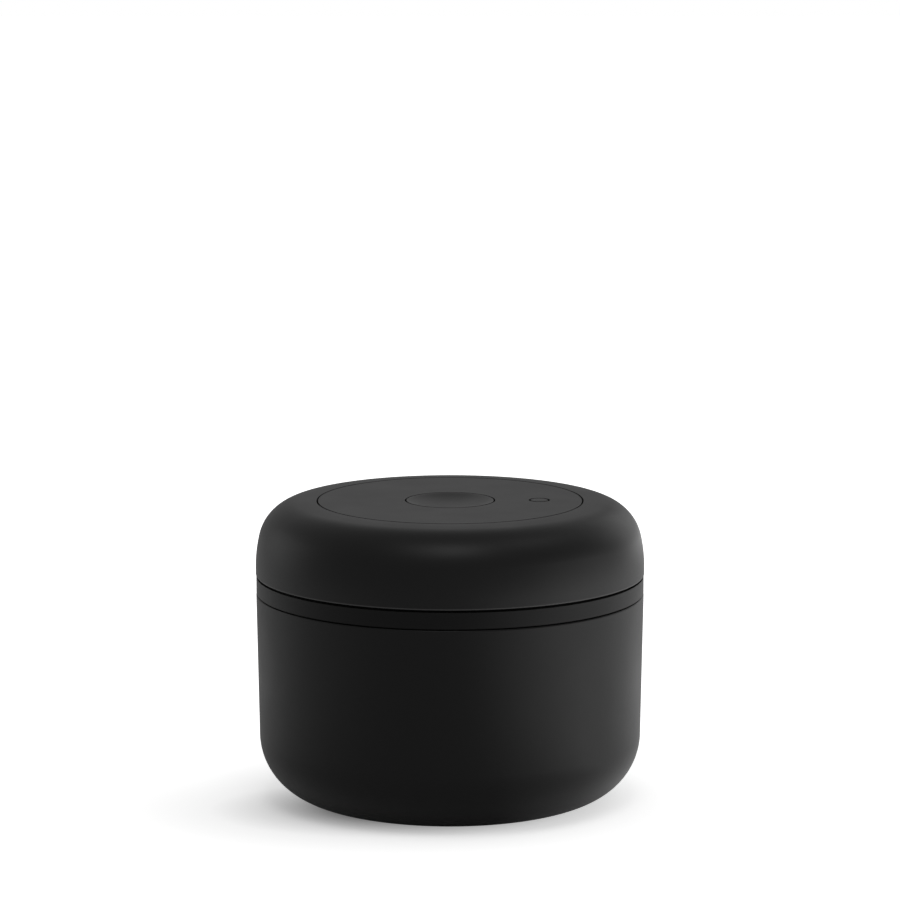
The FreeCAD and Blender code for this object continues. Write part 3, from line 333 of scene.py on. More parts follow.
class StageSizes(PropertyGroup):
    """Sizes of the stage, its light and its camera"""
    floor_size: length("Floor", "Side of the floor", 8.0)
    # The floor's painted shade: an oval, left of and in front of the axis, where its glow is held back over
    # the real shadow
    shade_left: length("Shade left", "How far the shade's middle lies left of the axis", 0.019)
    shade_front: length("Shade front", "How far the shade's middle lies in front of the axis", 0.02)
    shade_depth: amount("Shade depth", "Depth of the shade as a share of its width", 0.64)
    shade_start: length("Shade start", "How far from the shade's middle the floor begins to glow", 0.0055)
    shade_end: length("Shade end", "How far from the shade's middle the shade at the foot ends", 0.055)
    shade_lift: amount("Shade lift", "Glow of the floor where the shade ends", 0.56)
    # Reflections see a glow of the floor at the right, clear of the foot: a painted reflection that brightens
    # the canister's right side
    foot_start: length("Foot start", "How far from the axis reflections begin to show the floor", 0.039)
    foot_end: length("Foot end", "How far from the axis reflections show the floor in full", 0.06)
    side_start: amount("Side start", "How far to the right the floor begins to show in reflections", 0.3)
    side_glow: amount("Side glow", "Glow that reflections show of the floor at the right", 0.555)
    fade_end: length("Fade end", "How far from the shade's middle the floor has faded to white", 0.2)
    ambient: amount("Ambient", "Light from all round", 0.362)
    camera_distance: length("Camera distance", "From the axis forward to the camera", 1.2717)
    camera_height: length("Camera height", "Height of the camera above the floor", 0.3179)
    camera_pitch: angle("Camera pitch", "How far the camera looks down", 9.351)
    lens: amount("Lens", "Focal length in millimetres on a 36 mm sensor", 167.55)


# Materials

def add_node(tree, kind, inputs=(), **settings):
    """Adds a node, sets its settings and gives each input a value or a link."""
    node = tree.nodes.new(kind)
    for name, value in settings.items():
        setattr(node, name, value)
    for name, value in dict(inputs).items():
        if isinstance(value, bpy.types.NodeSocket):
            tree.links.new(value, node.inputs[name])
        else:
            node.inputs[name].default_value = value
    return node


def empty_material(name):
    """A material without nodes."""
    material = bpy.data.materials.new(name)
    material.use_nodes = True
    material.node_tree.nodes.clear()
    return material


def shade(tint, share):
    """A colour made darker or lighter by a share."""
    return tuple(min(1.0, channel * share) for channel in tint[:3]) + (1.0,)


def grained(name, tint, roughness, specular, grain, relief, **constants):
    """A fine-grained surface: grain is the width of a grain and relief its height.

    Tone and gloss drift over the width of a cloud, as they do on any coated or moulded piece.
    """
    material = empty_material(name)
    tree = material.node_tree
    place = add_node(tree, "ShaderNodeTexCoord").outputs["Object"]
    grains = add_node(tree, "ShaderNodeTexNoise", {
        "Vector": place, "Scale": 1 / grain, "Detail": GRAIN_DETAIL}).outputs["Fac"]
    clouds = add_node(tree, "ShaderNodeTexNoise", {
        "Vector": place, "Scale": 1 / CLOUD, "Detail": CLOUD_DETAIL}).outputs["Fac"]
    tone = add_node(tree, "ShaderNodeMixRGB", {
        "Fac": clouds, "Color1": shade(tint, 1 - TONE_DRIFT), "Color2": shade(tint, 1 + TONE_DRIFT)})
    gloss = add_node(tree, "ShaderNodeMapRange", {
        "Value": clouds, "From Min": NOISE_LOW, "From Max": NOISE_HIGH,
        "To Min": roughness - GLOSS_DRIFT, "To Max": roughness + GLOSS_DRIFT})
    bump = add_node(tree, "ShaderNodeBump", {"Height": grains, "Distance": relief})
    shader = add_node(tree, "ShaderNodeBsdfPrincipled", {
        "Base Color": tone.outputs["Color"], "Roughness": gloss.outputs["Result"],
        "Specular IOR Level": specular, "Normal": bump.outputs["Normal"], **constants})
    add_node(tree, "ShaderNodeOutputMaterial", {"Surface": shader.outputs["BSDF"]})
    return material


def spun_steel(tint, pitch, relief, dark, light, smooth, rough):
    """Bare stainless steel with the fine rings that spinning and drawing leave.

    The tone goes from a dark to a light share of the tint, and the roughness from smooth to rough.
    """
    material = empty_material("Bare stainless steel, spun")
    tree = material.node_tree
    place = add_node(tree, "ShaderNodeTexCoord").outputs["Object"]
    parts = add_node(tree, "ShaderNodeSeparateXYZ", {"Vector": place}).outputs
    flat = add_node(tree, "ShaderNodeCombineXYZ", {"X": parts["X"], "Y": parts["Y"]})
    radius = add_node(tree, "ShaderNodeVectorMath", {"Vector": flat.outputs["Vector"]}, operation="LENGTH")
    ring = add_node(tree, "ShaderNodeCombineXYZ", {"X": radius.outputs["Value"], "Y": parts["Z"]})
    rings = add_node(tree, "ShaderNodeTexNoise", {
        "Vector": ring.outputs["Vector"], "Scale": 1 / pitch, "Detail": CLOUD_DETAIL}).outputs["Fac"]
    tone = add_node(tree, "ShaderNodeMixRGB", {
        "Fac": rings, "Color1": shade(tint, dark), "Color2": shade(tint, light)})
    gloss = add_node(tree, "ShaderNodeMapRange", {
        "Value": rings, "From Min": NOISE_LOW, "From Max": NOISE_HIGH, "To Min": smooth, "To Max": rough})
    bump = add_node(tree, "ShaderNodeBump", {"Height": rings, "Distance": relief})
    shader = add_node(tree, "ShaderNodeBsdfPrincipled", {
        "Base Color": tone.outputs["Color"], "Metallic": 1.0, "Roughness": gloss.outputs["Result"],
        "Normal": bump.outputs["Normal"]})
    add_node(tree, "ShaderNodeOutputMaterial", {"Surface": shader.outputs["BSDF"]})
    return material


def woven_nylon(tint, pitch, relief, dark, roughness, ior):
    """Nylon gauze: two sets of threads that cross at right angles, with gaps of a dark share of the tint."""
    material = empty_material("Nylon gauze, woven")
    tree = material.node_tree
    place = add_node(tree, "ShaderNodeTexCoord").outputs["Object"]
    threads = {}
    for index, direction in enumerate("XY"):
        wave = add_node(tree, "ShaderNodeTexWave", {"Vector": place, "Scale": 1 / pitch / math.pi},
                        bands_direction=direction)
        threads[index] = wave.outputs["Fac"]
    weave = add_node(tree, "ShaderNodeMath", threads, operation="MAXIMUM").outputs["Value"]
    tone = add_node(tree, "ShaderNodeMixRGB", {
        "Fac": weave, "Color1": shade(tint, dark), "Color2": tuple(tint)})
    bump = add_node(tree, "ShaderNodeBump", {"Height": weave, "Distance": relief})
    shader = add_node(tree, "ShaderNodeBsdfPrincipled", {
        "Base Color": tone.outputs["Color"], "Roughness": roughness, "IOR": ior,
        "Normal": bump.outputs["Normal"]})
    add_node(tree, "ShaderNodeOutputMaterial", {"Surface": shader.outputs["BSDF"]})
    return material


def make_finishes(colours):
    """Every finish of the canister, under the record's material slot or a name of its own."""
    paint = {"roughness": 0.42, "grain": 0.5 * MM, "relief": 0.008 * MM}
    return {
        # Baked powder coat: a very fine orange peel that spreads the light wide and keeps the black deep
        "black_coated_steel": grained("Powder coat on steel", colours.coat, roughness=0.42, specular=0.22,
                                      grain=0.7 * MM, relief=0.01 * MM),
        # Soft-touch paint over ABS: flat and velvety, with a soft bright edge where it turns away
        "black_soft_plastic": grained("Soft-touch paint on ABS", colours.paint, specular=0.27, **paint),
        # Soft-touch paint in a paler grey along the cap's lip: a painted highlight line above the dark seam
        "painted_highlight_paint": grained("Soft-touch paint, worn edge", colours.lip_highlight, specular=0.27, **paint),
        # Paint that fingers have rubbed: a little more sheen than on the rest of the lid
        "rubbed_paint": grained("Soft-touch paint, rubbed", colours.paint, specular=0.42, **paint),
        # ABS from a satin mould: less sheen than the paint, so it is darker face on
        "black_plastic": grained("Black ABS, satin moulded", colours.black_abs, roughness=0.42, specular=0.17,
                                 grain=0.4 * MM, relief=0.005 * MM),
        # ABS with a grey masterbatch, from a satin mould: an even mid grey with a soft sheen
        "grey_plastic": grained("Grey ABS, satin moulded", colours.grey_abs, roughness=0.45, specular=0.5,
                                grain=0.4 * MM, relief=0.008 * MM),
        # Acetal: dense, waxy white with a low sheen
        "white_acetal": grained("White acetal, moulded", colours.acetal, roughness=0.35, specular=0.45,
                                grain=0.6 * MM, relief=0.005 * MM),
        # Moulded silicone: a dull, even grey
        "grey_silicone": grained("Grey silicone, moulded", colours.silicone, roughness=0.55, specular=0.4,
                                 grain=0.5 * MM, relief=0.006 * MM),
        # Nitrile rubber: dull black
        "dark_rubber": grained("Black nitrile rubber", colours.rubber, roughness=0.6, specular=0.35,
                               grain=0.4 * MM, relief=0.01 * MM),
        # Drawn stainless steel: bright metal with a faint grain
        "stainless_steel": grained("Stainless steel, drawn", colours.steel, roughness=0.3, specular=0.5,
                                   grain=0.3 * MM, relief=0.004 * MM, Metallic=1.0),
        # Nylon gauze: pale cloth with dark gaps. Real threads are about 0.2 mm apart; they are drawn 0.5 mm
        # apart to show through the plate's holes
        "nylon_mesh": woven_nylon(colours.nylon, pitch=0.5 * MM, relief=0.1 * MM, dark=0.35,
                                  roughness=0.55, ior=1.53),
        # Spun steel: bright metal with fine rings that streak the light. Real rings are about 0.05 mm apart;
        # they are drawn 0.4 mm apart to show
        "bare_steel": spun_steel(colours.steel, pitch=0.4 * MM, relief=0.006 * MM, dark=0.86, light=1.08,
                                 smooth=0.24, rough=0.38),
    }


def finish(context, slot):
    """The material of a slot, made with all the others when the first is asked for."""
    found = {material["slot"]: material for material in bpy.data.materials if "slot" in material}
    if slot not in found:
        for name, material in make_finishes(context.scene.canister_finishes).items():
            material["slot"] = name
            found[name] = material
    return found[slot]


# Modelling

def only(piece):
    """Selects one piece and nothing else."""
    bpy.ops.object.select_all(action="DESELECT")
    piece.select_set(True)
    bpy.context.view_layer.objects.active = piece


def arc(centre, radius, start, end):
    """Corners along an arc about (radius, height), from one angle to another."""
    steps = max(2, math.ceil(abs(end - start) / ARC_STEP))
    corners = []
    for step in range(steps + 1):
        turn = start + (end - start) * step / steps
        corners.append((centre[0] + radius * math.cos(turn), centre[1] + radius * math.sin(turn)))
    return corners


def rounded(corners):
    """Points of a closed outline: corners are (radius, height), or (radius, height, rounding)."""
    points = []
    for index, corner in enumerate(corners):
        here = Vector(corner[:2])
        if len(corner) == 2:
            points.append(here)
            continue
        before = (Vector(corners[index - 1][:2]) - here).normalized()
        after = (Vector(corners[(index + 1) % len(corners)][:2]) - here).normalized()
        half = before.angle(after) / 2
        centre = here + (before + after).normalized() * corner[2] / math.sin(half)
        first = here + before * corner[2] / math.tan(half) - centre
        last = here + after * corner[2] / math.tan(half) - centre
        for step in range(EDGE_STEPS + 1):
            spoke = first.lerp(last, step / EDGE_STEPS).normalized()
            points.append(centre + spoke * corner[2])
    return points


def turned(name, corners, centre=(0.0, 0.0), steps=ROUND_STEPS):
    """Turns an outline about an upright axis into one closed piece."""
    points = [Vector((centre[0] + x, centre[1], z)) for x, z in rounded(corners)]
    # An outline that starts on the axis stays open there
    if corners[0][0] > MERGE:
        points.append(points[0])
    bpy.ops.object.select_all(action="DESELECT")
    bpy.ops.mesh.primitive_plane_add(size=MM)
    piece = bpy.context.object
    piece.name = name
    piece.data.name = name
    bpy.ops.object.mode_set(mode="EDIT")
    bpy.ops.mesh.merge(type="CENTER")
    bpy.ops.transform.translate(value=points[0])
    for before, after in zip(points, points[1:]):
        bpy.ops.mesh.extrude_vertices_move(TRANSFORM_OT_translate={"value": after - before})
    bpy.ops.mesh.select_all(action="SELECT")
    bpy.ops.mesh.remove_doubles(threshold=MERGE)
    bpy.ops.mesh.select_all(action="SELECT")
    bpy.ops.mesh.spin(steps=steps, angle=math.tau, center=(*centre, 0.0), axis=(0.0, 0.0, 1.0))
    close_up()
    return piece


def close_up():
    """Merges doubles, points the faces outwards and goes back to object mode."""
    bpy.ops.mesh.select_all(action="SELECT")
    bpy.ops.mesh.remove_doubles(threshold=MERGE)
    bpy.ops.mesh.select_all(action="SELECT")
    bpy.ops.mesh.normals_make_consistent(inside=False)
    bpy.ops.object.mode_set(mode="OBJECT")


def round_places(radius, number, first=0.0):
    """Places evenly round the axis, as (x, y)."""
    turns = [first + math.tau * index / number for index in range(number)]
    return [(radius * math.cos(turn), radius * math.sin(turn)) for turn in turns]


def copies_at(piece, places):
    """Copies a piece that stands at the first place to the others, each with its own mesh."""
    pieces = [piece]
    start = Vector((*places[0], 0.0))
    for place in places[1:]:
        only(piece)
        bpy.ops.object.duplicate()
        bpy.ops.transform.translate(value=Vector((*place, 0.0)) - start)
        bpy.ops.object.transform_apply(location=True, rotation=False, scale=False)
        pieces.append(bpy.context.object)
    return pieces


def carve(piece, operation, corners, places, steps=SMALL_STEPS):
    """Cuts round holes into a piece, or joins round posts to it, at each of the places."""
    tools = copies_at(turned("tool", corners, places[0], steps), places)
    only(tools[0])
    for tool in tools:
        tool.select_set(True)
    bpy.ops.object.join()
    apply_boolean(piece, operation, tools[0])


def apply_boolean(piece, operation, tool):
    """Joins a tool to a piece or takes it away, and deletes the tool."""
    only(piece)
    modifier = piece.modifiers.new("Shape", "BOOLEAN")
    modifier.operation = operation
    modifier.solver = "EXACT"
    modifier.object = tool
    bpy.ops.object.modifier_apply(modifier=modifier.name)
    bpy.data.meshes.remove(tool.data)


def hand_over(context, piece, body, slot, *nodes):
    """Smooths a finished piece, gives it its finish and lets it ride in place of CAD nodes."""
    only(piece)
    bpy.ops.object.shade_smooth_by_angle(angle=SMOOTH_ANGLE)
    flatten(piece)
    piece.data.materials.clear()
    piece.data.materials.append(finish(context, slot))
    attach(piece, body)
    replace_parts(piece, *nodes)


def flatten(piece):
    """Keeps the shading of large faces even beside their rounded edges."""
    modifier = piece.modifiers.new("Flat faces", "WEIGHTED_NORMAL")
    modifier.keep_sharp = True
    bpy.ops.object.modifier_apply(modifier=modifier.name)


def facing_out(face):
    """1 where a face looks straight away from the axis, -1 where it looks straight at it."""
    return face.normal.xy.dot(face.center.xy.normalized())


def column(radius, low, high):
    """Outline of a plain round post or hole."""
    return [(0.0, low), (radius, low), (radius, high), (0.0, high)]


def bevelled_hole(radius, low, high, bevel):
    """Outline of a cutter whose hole has a bevel at both faces; it reaches one bevel past each."""
    return [(0.0, low - bevel), (radius + 2 * bevel, low - bevel), (radius, low + bevel),
            (radius, high - bevel), (radius + 2 * bevel, high + bevel), (0.0, high + bevel)]


# Bowl

def bowl_wall(sizes, inset):
    """Corners of the bowl from the middle of its base up to its rim, moved in by an inset."""
    draft = sizes.draft
    corner = sizes.base_corner
    corner_x = sizes.rim_diameter / 2 - (sizes.height - corner) * math.tan(draft) - corner / math.cos(draft)
    bend = arc((corner_x, corner), corner - inset, -math.pi / 2, -draft)
    rim_x = sizes.rim_diameter / 2 - inset / math.cos(draft)
    return [(0.0, inset), *bend, (rim_x, sizes.height, sizes.rim_round)]


class CANISTER_OT_bowl(Operator):
    """Turns the steel bowl, coated outside and bare inside"""
    bl_idname = "canister.bowl"
    bl_label = "Bowl"

    def execute(self, context):
        sizes = context.scene.canister_bowl
        outside = bowl_wall(sizes, 0.0)
        inside = bowl_wall(sizes, sizes.wall)
        bowl = turned("bowl", outside + inside[::-1])
        hand_over(context, bowl, "canister", "black_coated_steel", "canister_shell")
        bowl.data.materials.append(finish(context, "bare_steel"))
        rim = sizes.height - sizes.rim_round
        for face in bowl.data.polygons:
            facing_in = facing_out(face) < 0 or face.normal.z > UPWARD
            face.material_index = int(facing_in and face.center.z < rim)
        return {"FINISHED"}


# Lid base and what is fixed to it

def corner_places(node, head):
    """Places of four screws on the diagonals, from the box of their node and the width of a head."""
    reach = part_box(node)[HIGH].x - head / 2
    return [(reach, reach), (-reach, reach), (-reach, -reach), (reach, -reach)]


class CANISTER_OT_lid_base(Operator):
    """Turns the lid base with its band, plug and collar, and bores its ports"""
    bl_idname = "canister.lid_base"
    bl_label = "Lid base"

    def execute(self, context):
        sizes = context.scene.canister_lid
        screws = context.scene.canister_screws
        edge = sizes.mould_round
        band = sizes.band_diameter / 2
        seam = band - sizes.rim_seam_depth
        plug = sizes.plug_diameter / 2
        hollow = plug - sizes.plug_wall
        groove = plug - sizes.gasket_depth
        collar = sizes.collar_diameter / 2
        collar_inside = collar - sizes.collar_wall
        rim = level("canister_shell", HIGH)
        seat = level("glide_ring", LOW)
        band_top = seat - sizes.cap_seam
        collar_top = level("lid_base", HIGH)
        foot = level("lid_base", LOW)
        groove_low = level("main_gasket", LOW)
        groove_high = level("main_gasket", HIGH)
        floor_low = level("release_poppet", HIGH)
        floor_high = level("block_gasket", LOW)
        slope = groove_high + sizes.plug_wall
        base = turned("lid_base_moulding", [
            (sizes.seat_bore / 2, floor_high), (sizes.seat_bore / 2, floor_low),
            (hollow, floor_low), (hollow, foot), (plug, foot, sizes.plug_round),
            (plug, groove_low), (groove, groove_low), (groove, groove_high), (plug, groove_high),
            (plug, rim), (seam, rim), (seam, rim + sizes.rim_seam),
            (band, rim + sizes.rim_seam, sizes.band_round), (band, band_top, sizes.band_round),
            (seam, band_top), (seam, seat),
            (collar, seat), (collar, collar_top, edge), (collar_inside, collar_top, edge),
            (collar_inside, slope), (hollow, slope - sizes.collar_slope), (hollow, floor_high)])
        post_low = level("valve_cover", HIGH)
        posts = corner_places("cover_screws", screws.head)
        carve(base, "UNION", column(screws.post / 2, post_low, (floor_low + floor_high) / 2), posts)
        carve(base, "DIFFERENCE", column(screws.shaft / 2 + screws.fit, post_low - edge, floor_low), posts)
        through = (floor_low - edge, floor_high + edge)
        ports = [middle(f"intake_valve_{number}") for number in PUMP_NUMBERS] + [middle("indicator_pin")]
        carve(base, "DIFFERENCE", column(sizes.port / 2, *through), ports)
        ties = corner_places("tie_screws", screws.tie_head)
        carve(base, "DIFFERENCE", column(screws.tie_thread / 2 + screws.clearance, *through), ties)
        hand_over(context, base, "lid", "black_plastic", "lid_base")
        return {"FINISHED"}


class CANISTER_OT_lid_rings(Operator):
    """Turns the lipped gasket round the plug and the ring in the seam under the cap"""
    bl_idname = "canister.lid_rings"
    bl_label = "Gasket and glide ring"

    def execute(self, context):
        sizes = context.scene.canister_lid
        plug = sizes.plug_diameter / 2
        back = plug - sizes.gasket_depth + sizes.gasket_fit
        tip = width("main_gasket") / 2
        low = level("main_gasket", LOW)
        high = level("main_gasket", HIGH)
        tip_round = sizes.lip_tip * sizes.lip_tip_round
        corners = [(back, low), (plug, low)]
        for lip in range(sizes.lips):
            start = low + sizes.lip_start + lip * sizes.lip_pitch
            corners.append((plug, start))
            corners.append((tip, start + sizes.lip_rise, tip_round))
            corners.append((tip, start + sizes.lip_rise + sizes.lip_tip, tip_round))
            corners.append((plug, start + sizes.lip_root))
        corners += [(plug, high), (back, high)]
        gasket = turned("lipped_gasket", corners)
        hand_over(context, gasket, "lid", "grey_silicone", "main_gasket")

        inner = width("glide_ring") / 2 - sizes.glide_width
        outer = width("glide_ring") / 2 - sizes.glide_recess
        low = level("glide_ring", LOW)
        high = level("glide_ring", HIGH)
        edge = (high - low) * sizes.glide_round
        glide = turned("seam_ring", [
            (inner, low, edge), (outer, low, edge), (outer, high, edge), (inner, high, edge)])
        hand_over(context, glide, "lid", slot_of("glide_ring"), "glide_ring")
        return {"FINISHED"}


class CANISTER_OT_cover(Operator):
    """Turns the plate under the lid, drills its rings of holes and sinks its screws"""
    bl_idname = "canister.cover"
    bl_label = "Perforated cover"

    def execute(self, context):
        sizes = context.scene.canister_lid
        screws = context.scene.canister_screws
        low = level("valve_cover", LOW)
        high = level("valve_cover", HIGH)
        radius = width("valve_cover") / 2
        bevel = sizes.cover_bevel
        cover = turned("perforated_cover", [
            (0.0, low), (radius, low, sizes.mould_round), (radius, high, sizes.mould_round), (0.0, high)])
        places = []
        for ring in range(1, sizes.cover_rings + 1):
            places += round_places(ring * sizes.cover_pitch, ring * sizes.cover_first)
        carve(cover, "DIFFERENCE", bevelled_hole(sizes.cover_hole / 2, low, high, bevel), places, HOLE_STEPS)
        sink = screws.head / 2 + screws.clearance
        shaft = screws.shaft / 2 + screws.clearance
        seat = low + screws.head_height
        carve(cover, "DIFFERENCE", [
            (0.0, low - bevel), (sink, low - bevel), (sink, seat), (shaft, seat), (shaft, high + bevel),
            (0.0, high + bevel)], corner_places("cover_screws", screws.head))
        hand_over(context, cover, "lid", slot_of("valve_cover"), "valve_cover")
        return {"FINISHED"}


class CANISTER_OT_cover_screws(Operator):
    """Turns one cap screw with a hexagon socket and copies it to the four corners of the cover"""
    bl_idname = "canister.cover_screws"
    bl_label = "Cover screws"

    def execute(self, context):
        sizes = context.scene.canister_screws
        places = corner_places("cover_screws", sizes.head)
        low = level("cover_screws", LOW)
        high = level("cover_screws", HIGH)
        seat = low + sizes.head_height
        screw = turned("cover_screw", [
            (0.0, low), (sizes.head / 2, low, sizes.head_round), (sizes.head / 2, seat),
            (sizes.shaft / 2, seat), (sizes.shaft / 2, high, sizes.head_round), (0.0, high)],
            places[0], SMALL_STEPS)
        bpy.ops.object.select_all(action="DESELECT")
        key_corner = sizes.key / 2 / math.cos(math.pi / HEXAGON)
        bpy.ops.mesh.primitive_cylinder_add(vertices=HEXAGON, radius=key_corner,
                                            depth=2 * sizes.key_depth, location=(*places[0], low))
        apply_boolean(screw, "DIFFERENCE", bpy.context.object)
        for number, piece in enumerate(copies_at(screw, places), start=1):
            piece.name = f"cover_screw_{number}"
            nodes = ["cover_screws"] if number == 1 else []
            hand_over(context, piece, "lid", slot_of("cover_screws"), *nodes)
        return {"FINISHED"}


# Cap, the plate in it and its valves

def dome_corners(sizes, inset, last):
    """Corners of the cap's dome from its shoulder up: side, corner and crown arcs, each tangent to the next.

    The inset is the distance inside the outer face, and last is the angle where the crown ends.
    """
    side = Vector((sizes.diameter / 2 - sizes.side_radius, level("cap_shell", LOW) + sizes.side))
    crown_x = sizes.face_diameter / 2 + sizes.face_gap + sizes.seam_round
    crown = Vector((crown_x, level("cap_shell", HIGH) - sizes.crown_radius))
    side_reach = sizes.side_radius - sizes.corner_radius
    crown_reach = sizes.crown_radius - sizes.corner_radius
    span = crown - side
    along = span.normalized()
    foot = (side_reach ** 2 - crown_reach ** 2 + span.length_squared) / (2 * span.length)
    corner = side + along * foot + Vector((-along.y, along.x)) * math.sqrt(side_reach ** 2 - foot ** 2)
    side_turn = math.atan2(corner.y - side.y, corner.x - side.x)
    crown_turn = math.atan2(corner.y - crown.y, corner.x - crown.x)
    corners = arc(side, sizes.side_radius - inset, 0.0, side_turn)
    corners += arc(corner, sizes.corner_radius - inset, side_turn, crown_turn)[1:]
    corners += arc(crown, sizes.crown_radius - inset, crown_turn, last)[1:]
    return corners


class CANISTER_OT_cap(Operator):
    """Turns the domed cap with the ledge under its plate and the posts that hold the cam ring"""
    bl_idname = "canister.cap"
    bl_label = "Cap"

    def execute(self, context):
        sizes = context.scene.canister_cap
        screws = context.scene.canister_screws
        bottom = level("cap_shell", LOW)
        top = level("cap_shell", HIGH)
        outer = sizes.diameter / 2
        # Top of the painted highlight line along the cap's lip
        highlight_line_top = bottom + sizes.highlight_line_height
        opening = sizes.face_diameter / 2 + sizes.face_gap
        crown_x = opening + sizes.seam_round
        ledge_high = top - sizes.face_thickness - sizes.ledge_gap
        ledge_low = ledge_high - sizes.ledge_thickness
        ledge = opening - sizes.ledge_reach
        inner_crown = sizes.crown_radius - sizes.wall
        outside = dome_corners(sizes, 0.0, math.pi / 2)
        inside = dome_corners(sizes, sizes.wall, math.acos(sizes.ledge_root / inner_crown))
        seam = arc((crown_x, top - sizes.seam_round), sizes.seam_round, math.pi / 2, math.pi)
        edge = sizes.lip_round / 2
        cap = turned("domed_cap", [
            (outer - sizes.wall, bottom), (outer, bottom, sizes.lip_round), (outer, highlight_line_top),
            *outside, *seam[1:],
            (opening, ledge_high), (ledge, ledge_high, edge), (ledge, ledge_low, edge),
            (crown_x + sizes.ledge_root, ledge_low), *inside[::-1]])
        post_low = level("cam_ring", HIGH)
        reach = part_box("cam_screws")[HIGH].x - screws.head / 2
        posts = round_places(reach, CAM_SCREWS)
        nearest = reach - screws.post / 2 - crown_x
        post_high = top - sizes.crown_radius + math.sqrt(inner_crown ** 2 - nearest ** 2) + sizes.overlap
        carve(cap, "UNION", column(screws.post / 2, post_low, post_high), posts)
        pilot = screws.shaft / 2 + screws.fit
        carve(cap, "DIFFERENCE", column(pilot, post_low - edge, post_high - 2 * sizes.overlap), posts)
        hand_over(context, cap, "cap", "black_soft_plastic", "cap_shell")
        # The lowest strip of the cap's outer side takes the paler grey: a painted highlight line along the
        # lip
        cap.data.materials.append(finish(context, "painted_highlight_paint"))
        for face in cap.data.polygons:
            face.material_index = int(facing_out(face) > OUTWARD and face.center.z < highlight_line_top)
        return {"FINISHED"}


class CANISTER_OT_face_plate(Operator):
    """Turns the flush plate with the button's guide, its posts and the indicator's hole"""
    bl_idname = "canister.face_plate"
    bl_label = "Face plate"

    def execute(self, context):
        sizes = context.scene.canister_cap
        valves = context.scene.canister_valves
        screws = context.scene.canister_screws
        top = level("face_plate", HIGH)
        under = top - sizes.face_thickness
        foot = level("face_plate", LOW)
        outer = sizes.face_diameter / 2
        hole = valves.button_diameter / 2 + valves.button_gap
        guide = hole + sizes.guide_wall
        guide_low = under - sizes.guide_depth
        edge = sizes.seam_round
        plate = turned("flush_plate", [
            (hole, guide_low), (guide, guide_low, edge), (guide, under), (outer, under),
            (outer, top, edge), (hole, top, edge)])
        posts = corner_places("tie_screws", screws.tie_head)
        pin_place = [middle("indicator_pin")]
        pin_hole = valves.pin_diameter / 2 + valves.pin_gap
        sleeve_low = under - sizes.sleeve_depth
        inside = under + sizes.overlap
        carve(plate, "UNION", column(screws.tie_post / 2, foot, inside), posts)
        carve(plate, "UNION", column(pin_hole + sizes.sleeve_wall, sleeve_low, inside), pin_place)
        pilot = screws.tie_thread / 2 + screws.fit
        carve(plate, "DIFFERENCE", column(pilot, foot - edge, foot + screws.tie_grip), posts)
        flare = arc((pin_hole + edge, top - edge), edge, math.pi, math.pi / 2)
        carve(plate, "DIFFERENCE", [
            (0.0, sleeve_low - edge), (pin_hole, sleeve_low - edge), *flare, (pin_hole + edge, top + edge),
            (0.0, top + edge)], pin_place)
        hand_over(context, plate, "lid", "black_soft_plastic", "face_plate")
        return {"FINISHED"}


class CANISTER_OT_button(Operator):
    """Turns the dished release button with its skirt and the socket for the stem"""
    bl_idname = "canister.button"
    bl_label = "Release button"

    def execute(self, context):
        sizes = context.scene.canister_valves
        seam = context.scene.canister_cap.seam_round
        top = level("release_button", HIGH)
        outer = sizes.button_diameter / 2
        dish = outer - seam - sizes.dish_rim
        sphere = (dish ** 2 + sizes.dish ** 2) / (2 * sizes.dish)
        hollow = arc((0.0, top - sizes.dish + sphere), sphere, -math.pi / 2,
                     -math.pi / 2 + math.asin(dish / sphere))
        under = top - sizes.dish - sizes.button_floor
        skirt = top - sizes.button_height
        socket = sizes.stem_diameter / 2
        socket_outer = socket + sizes.socket_wall
        socket_low = level("release_button", LOW)
        button = turned("dished_button", [
            *hollow, (outer, top, seam), (outer, skirt, seam), (outer - sizes.button_wall, skirt, seam),
            (outer - sizes.button_wall, under), (socket_outer, under), (socket_outer, socket_low, seam),
            (socket, socket_low, seam), (socket, under), (0.0, under)])
        hand_over(context, button, "release", "black_soft_plastic", "release_button")
        button.data.materials[0] = finish(context, "rubbed_paint")
        return {"FINISHED"}


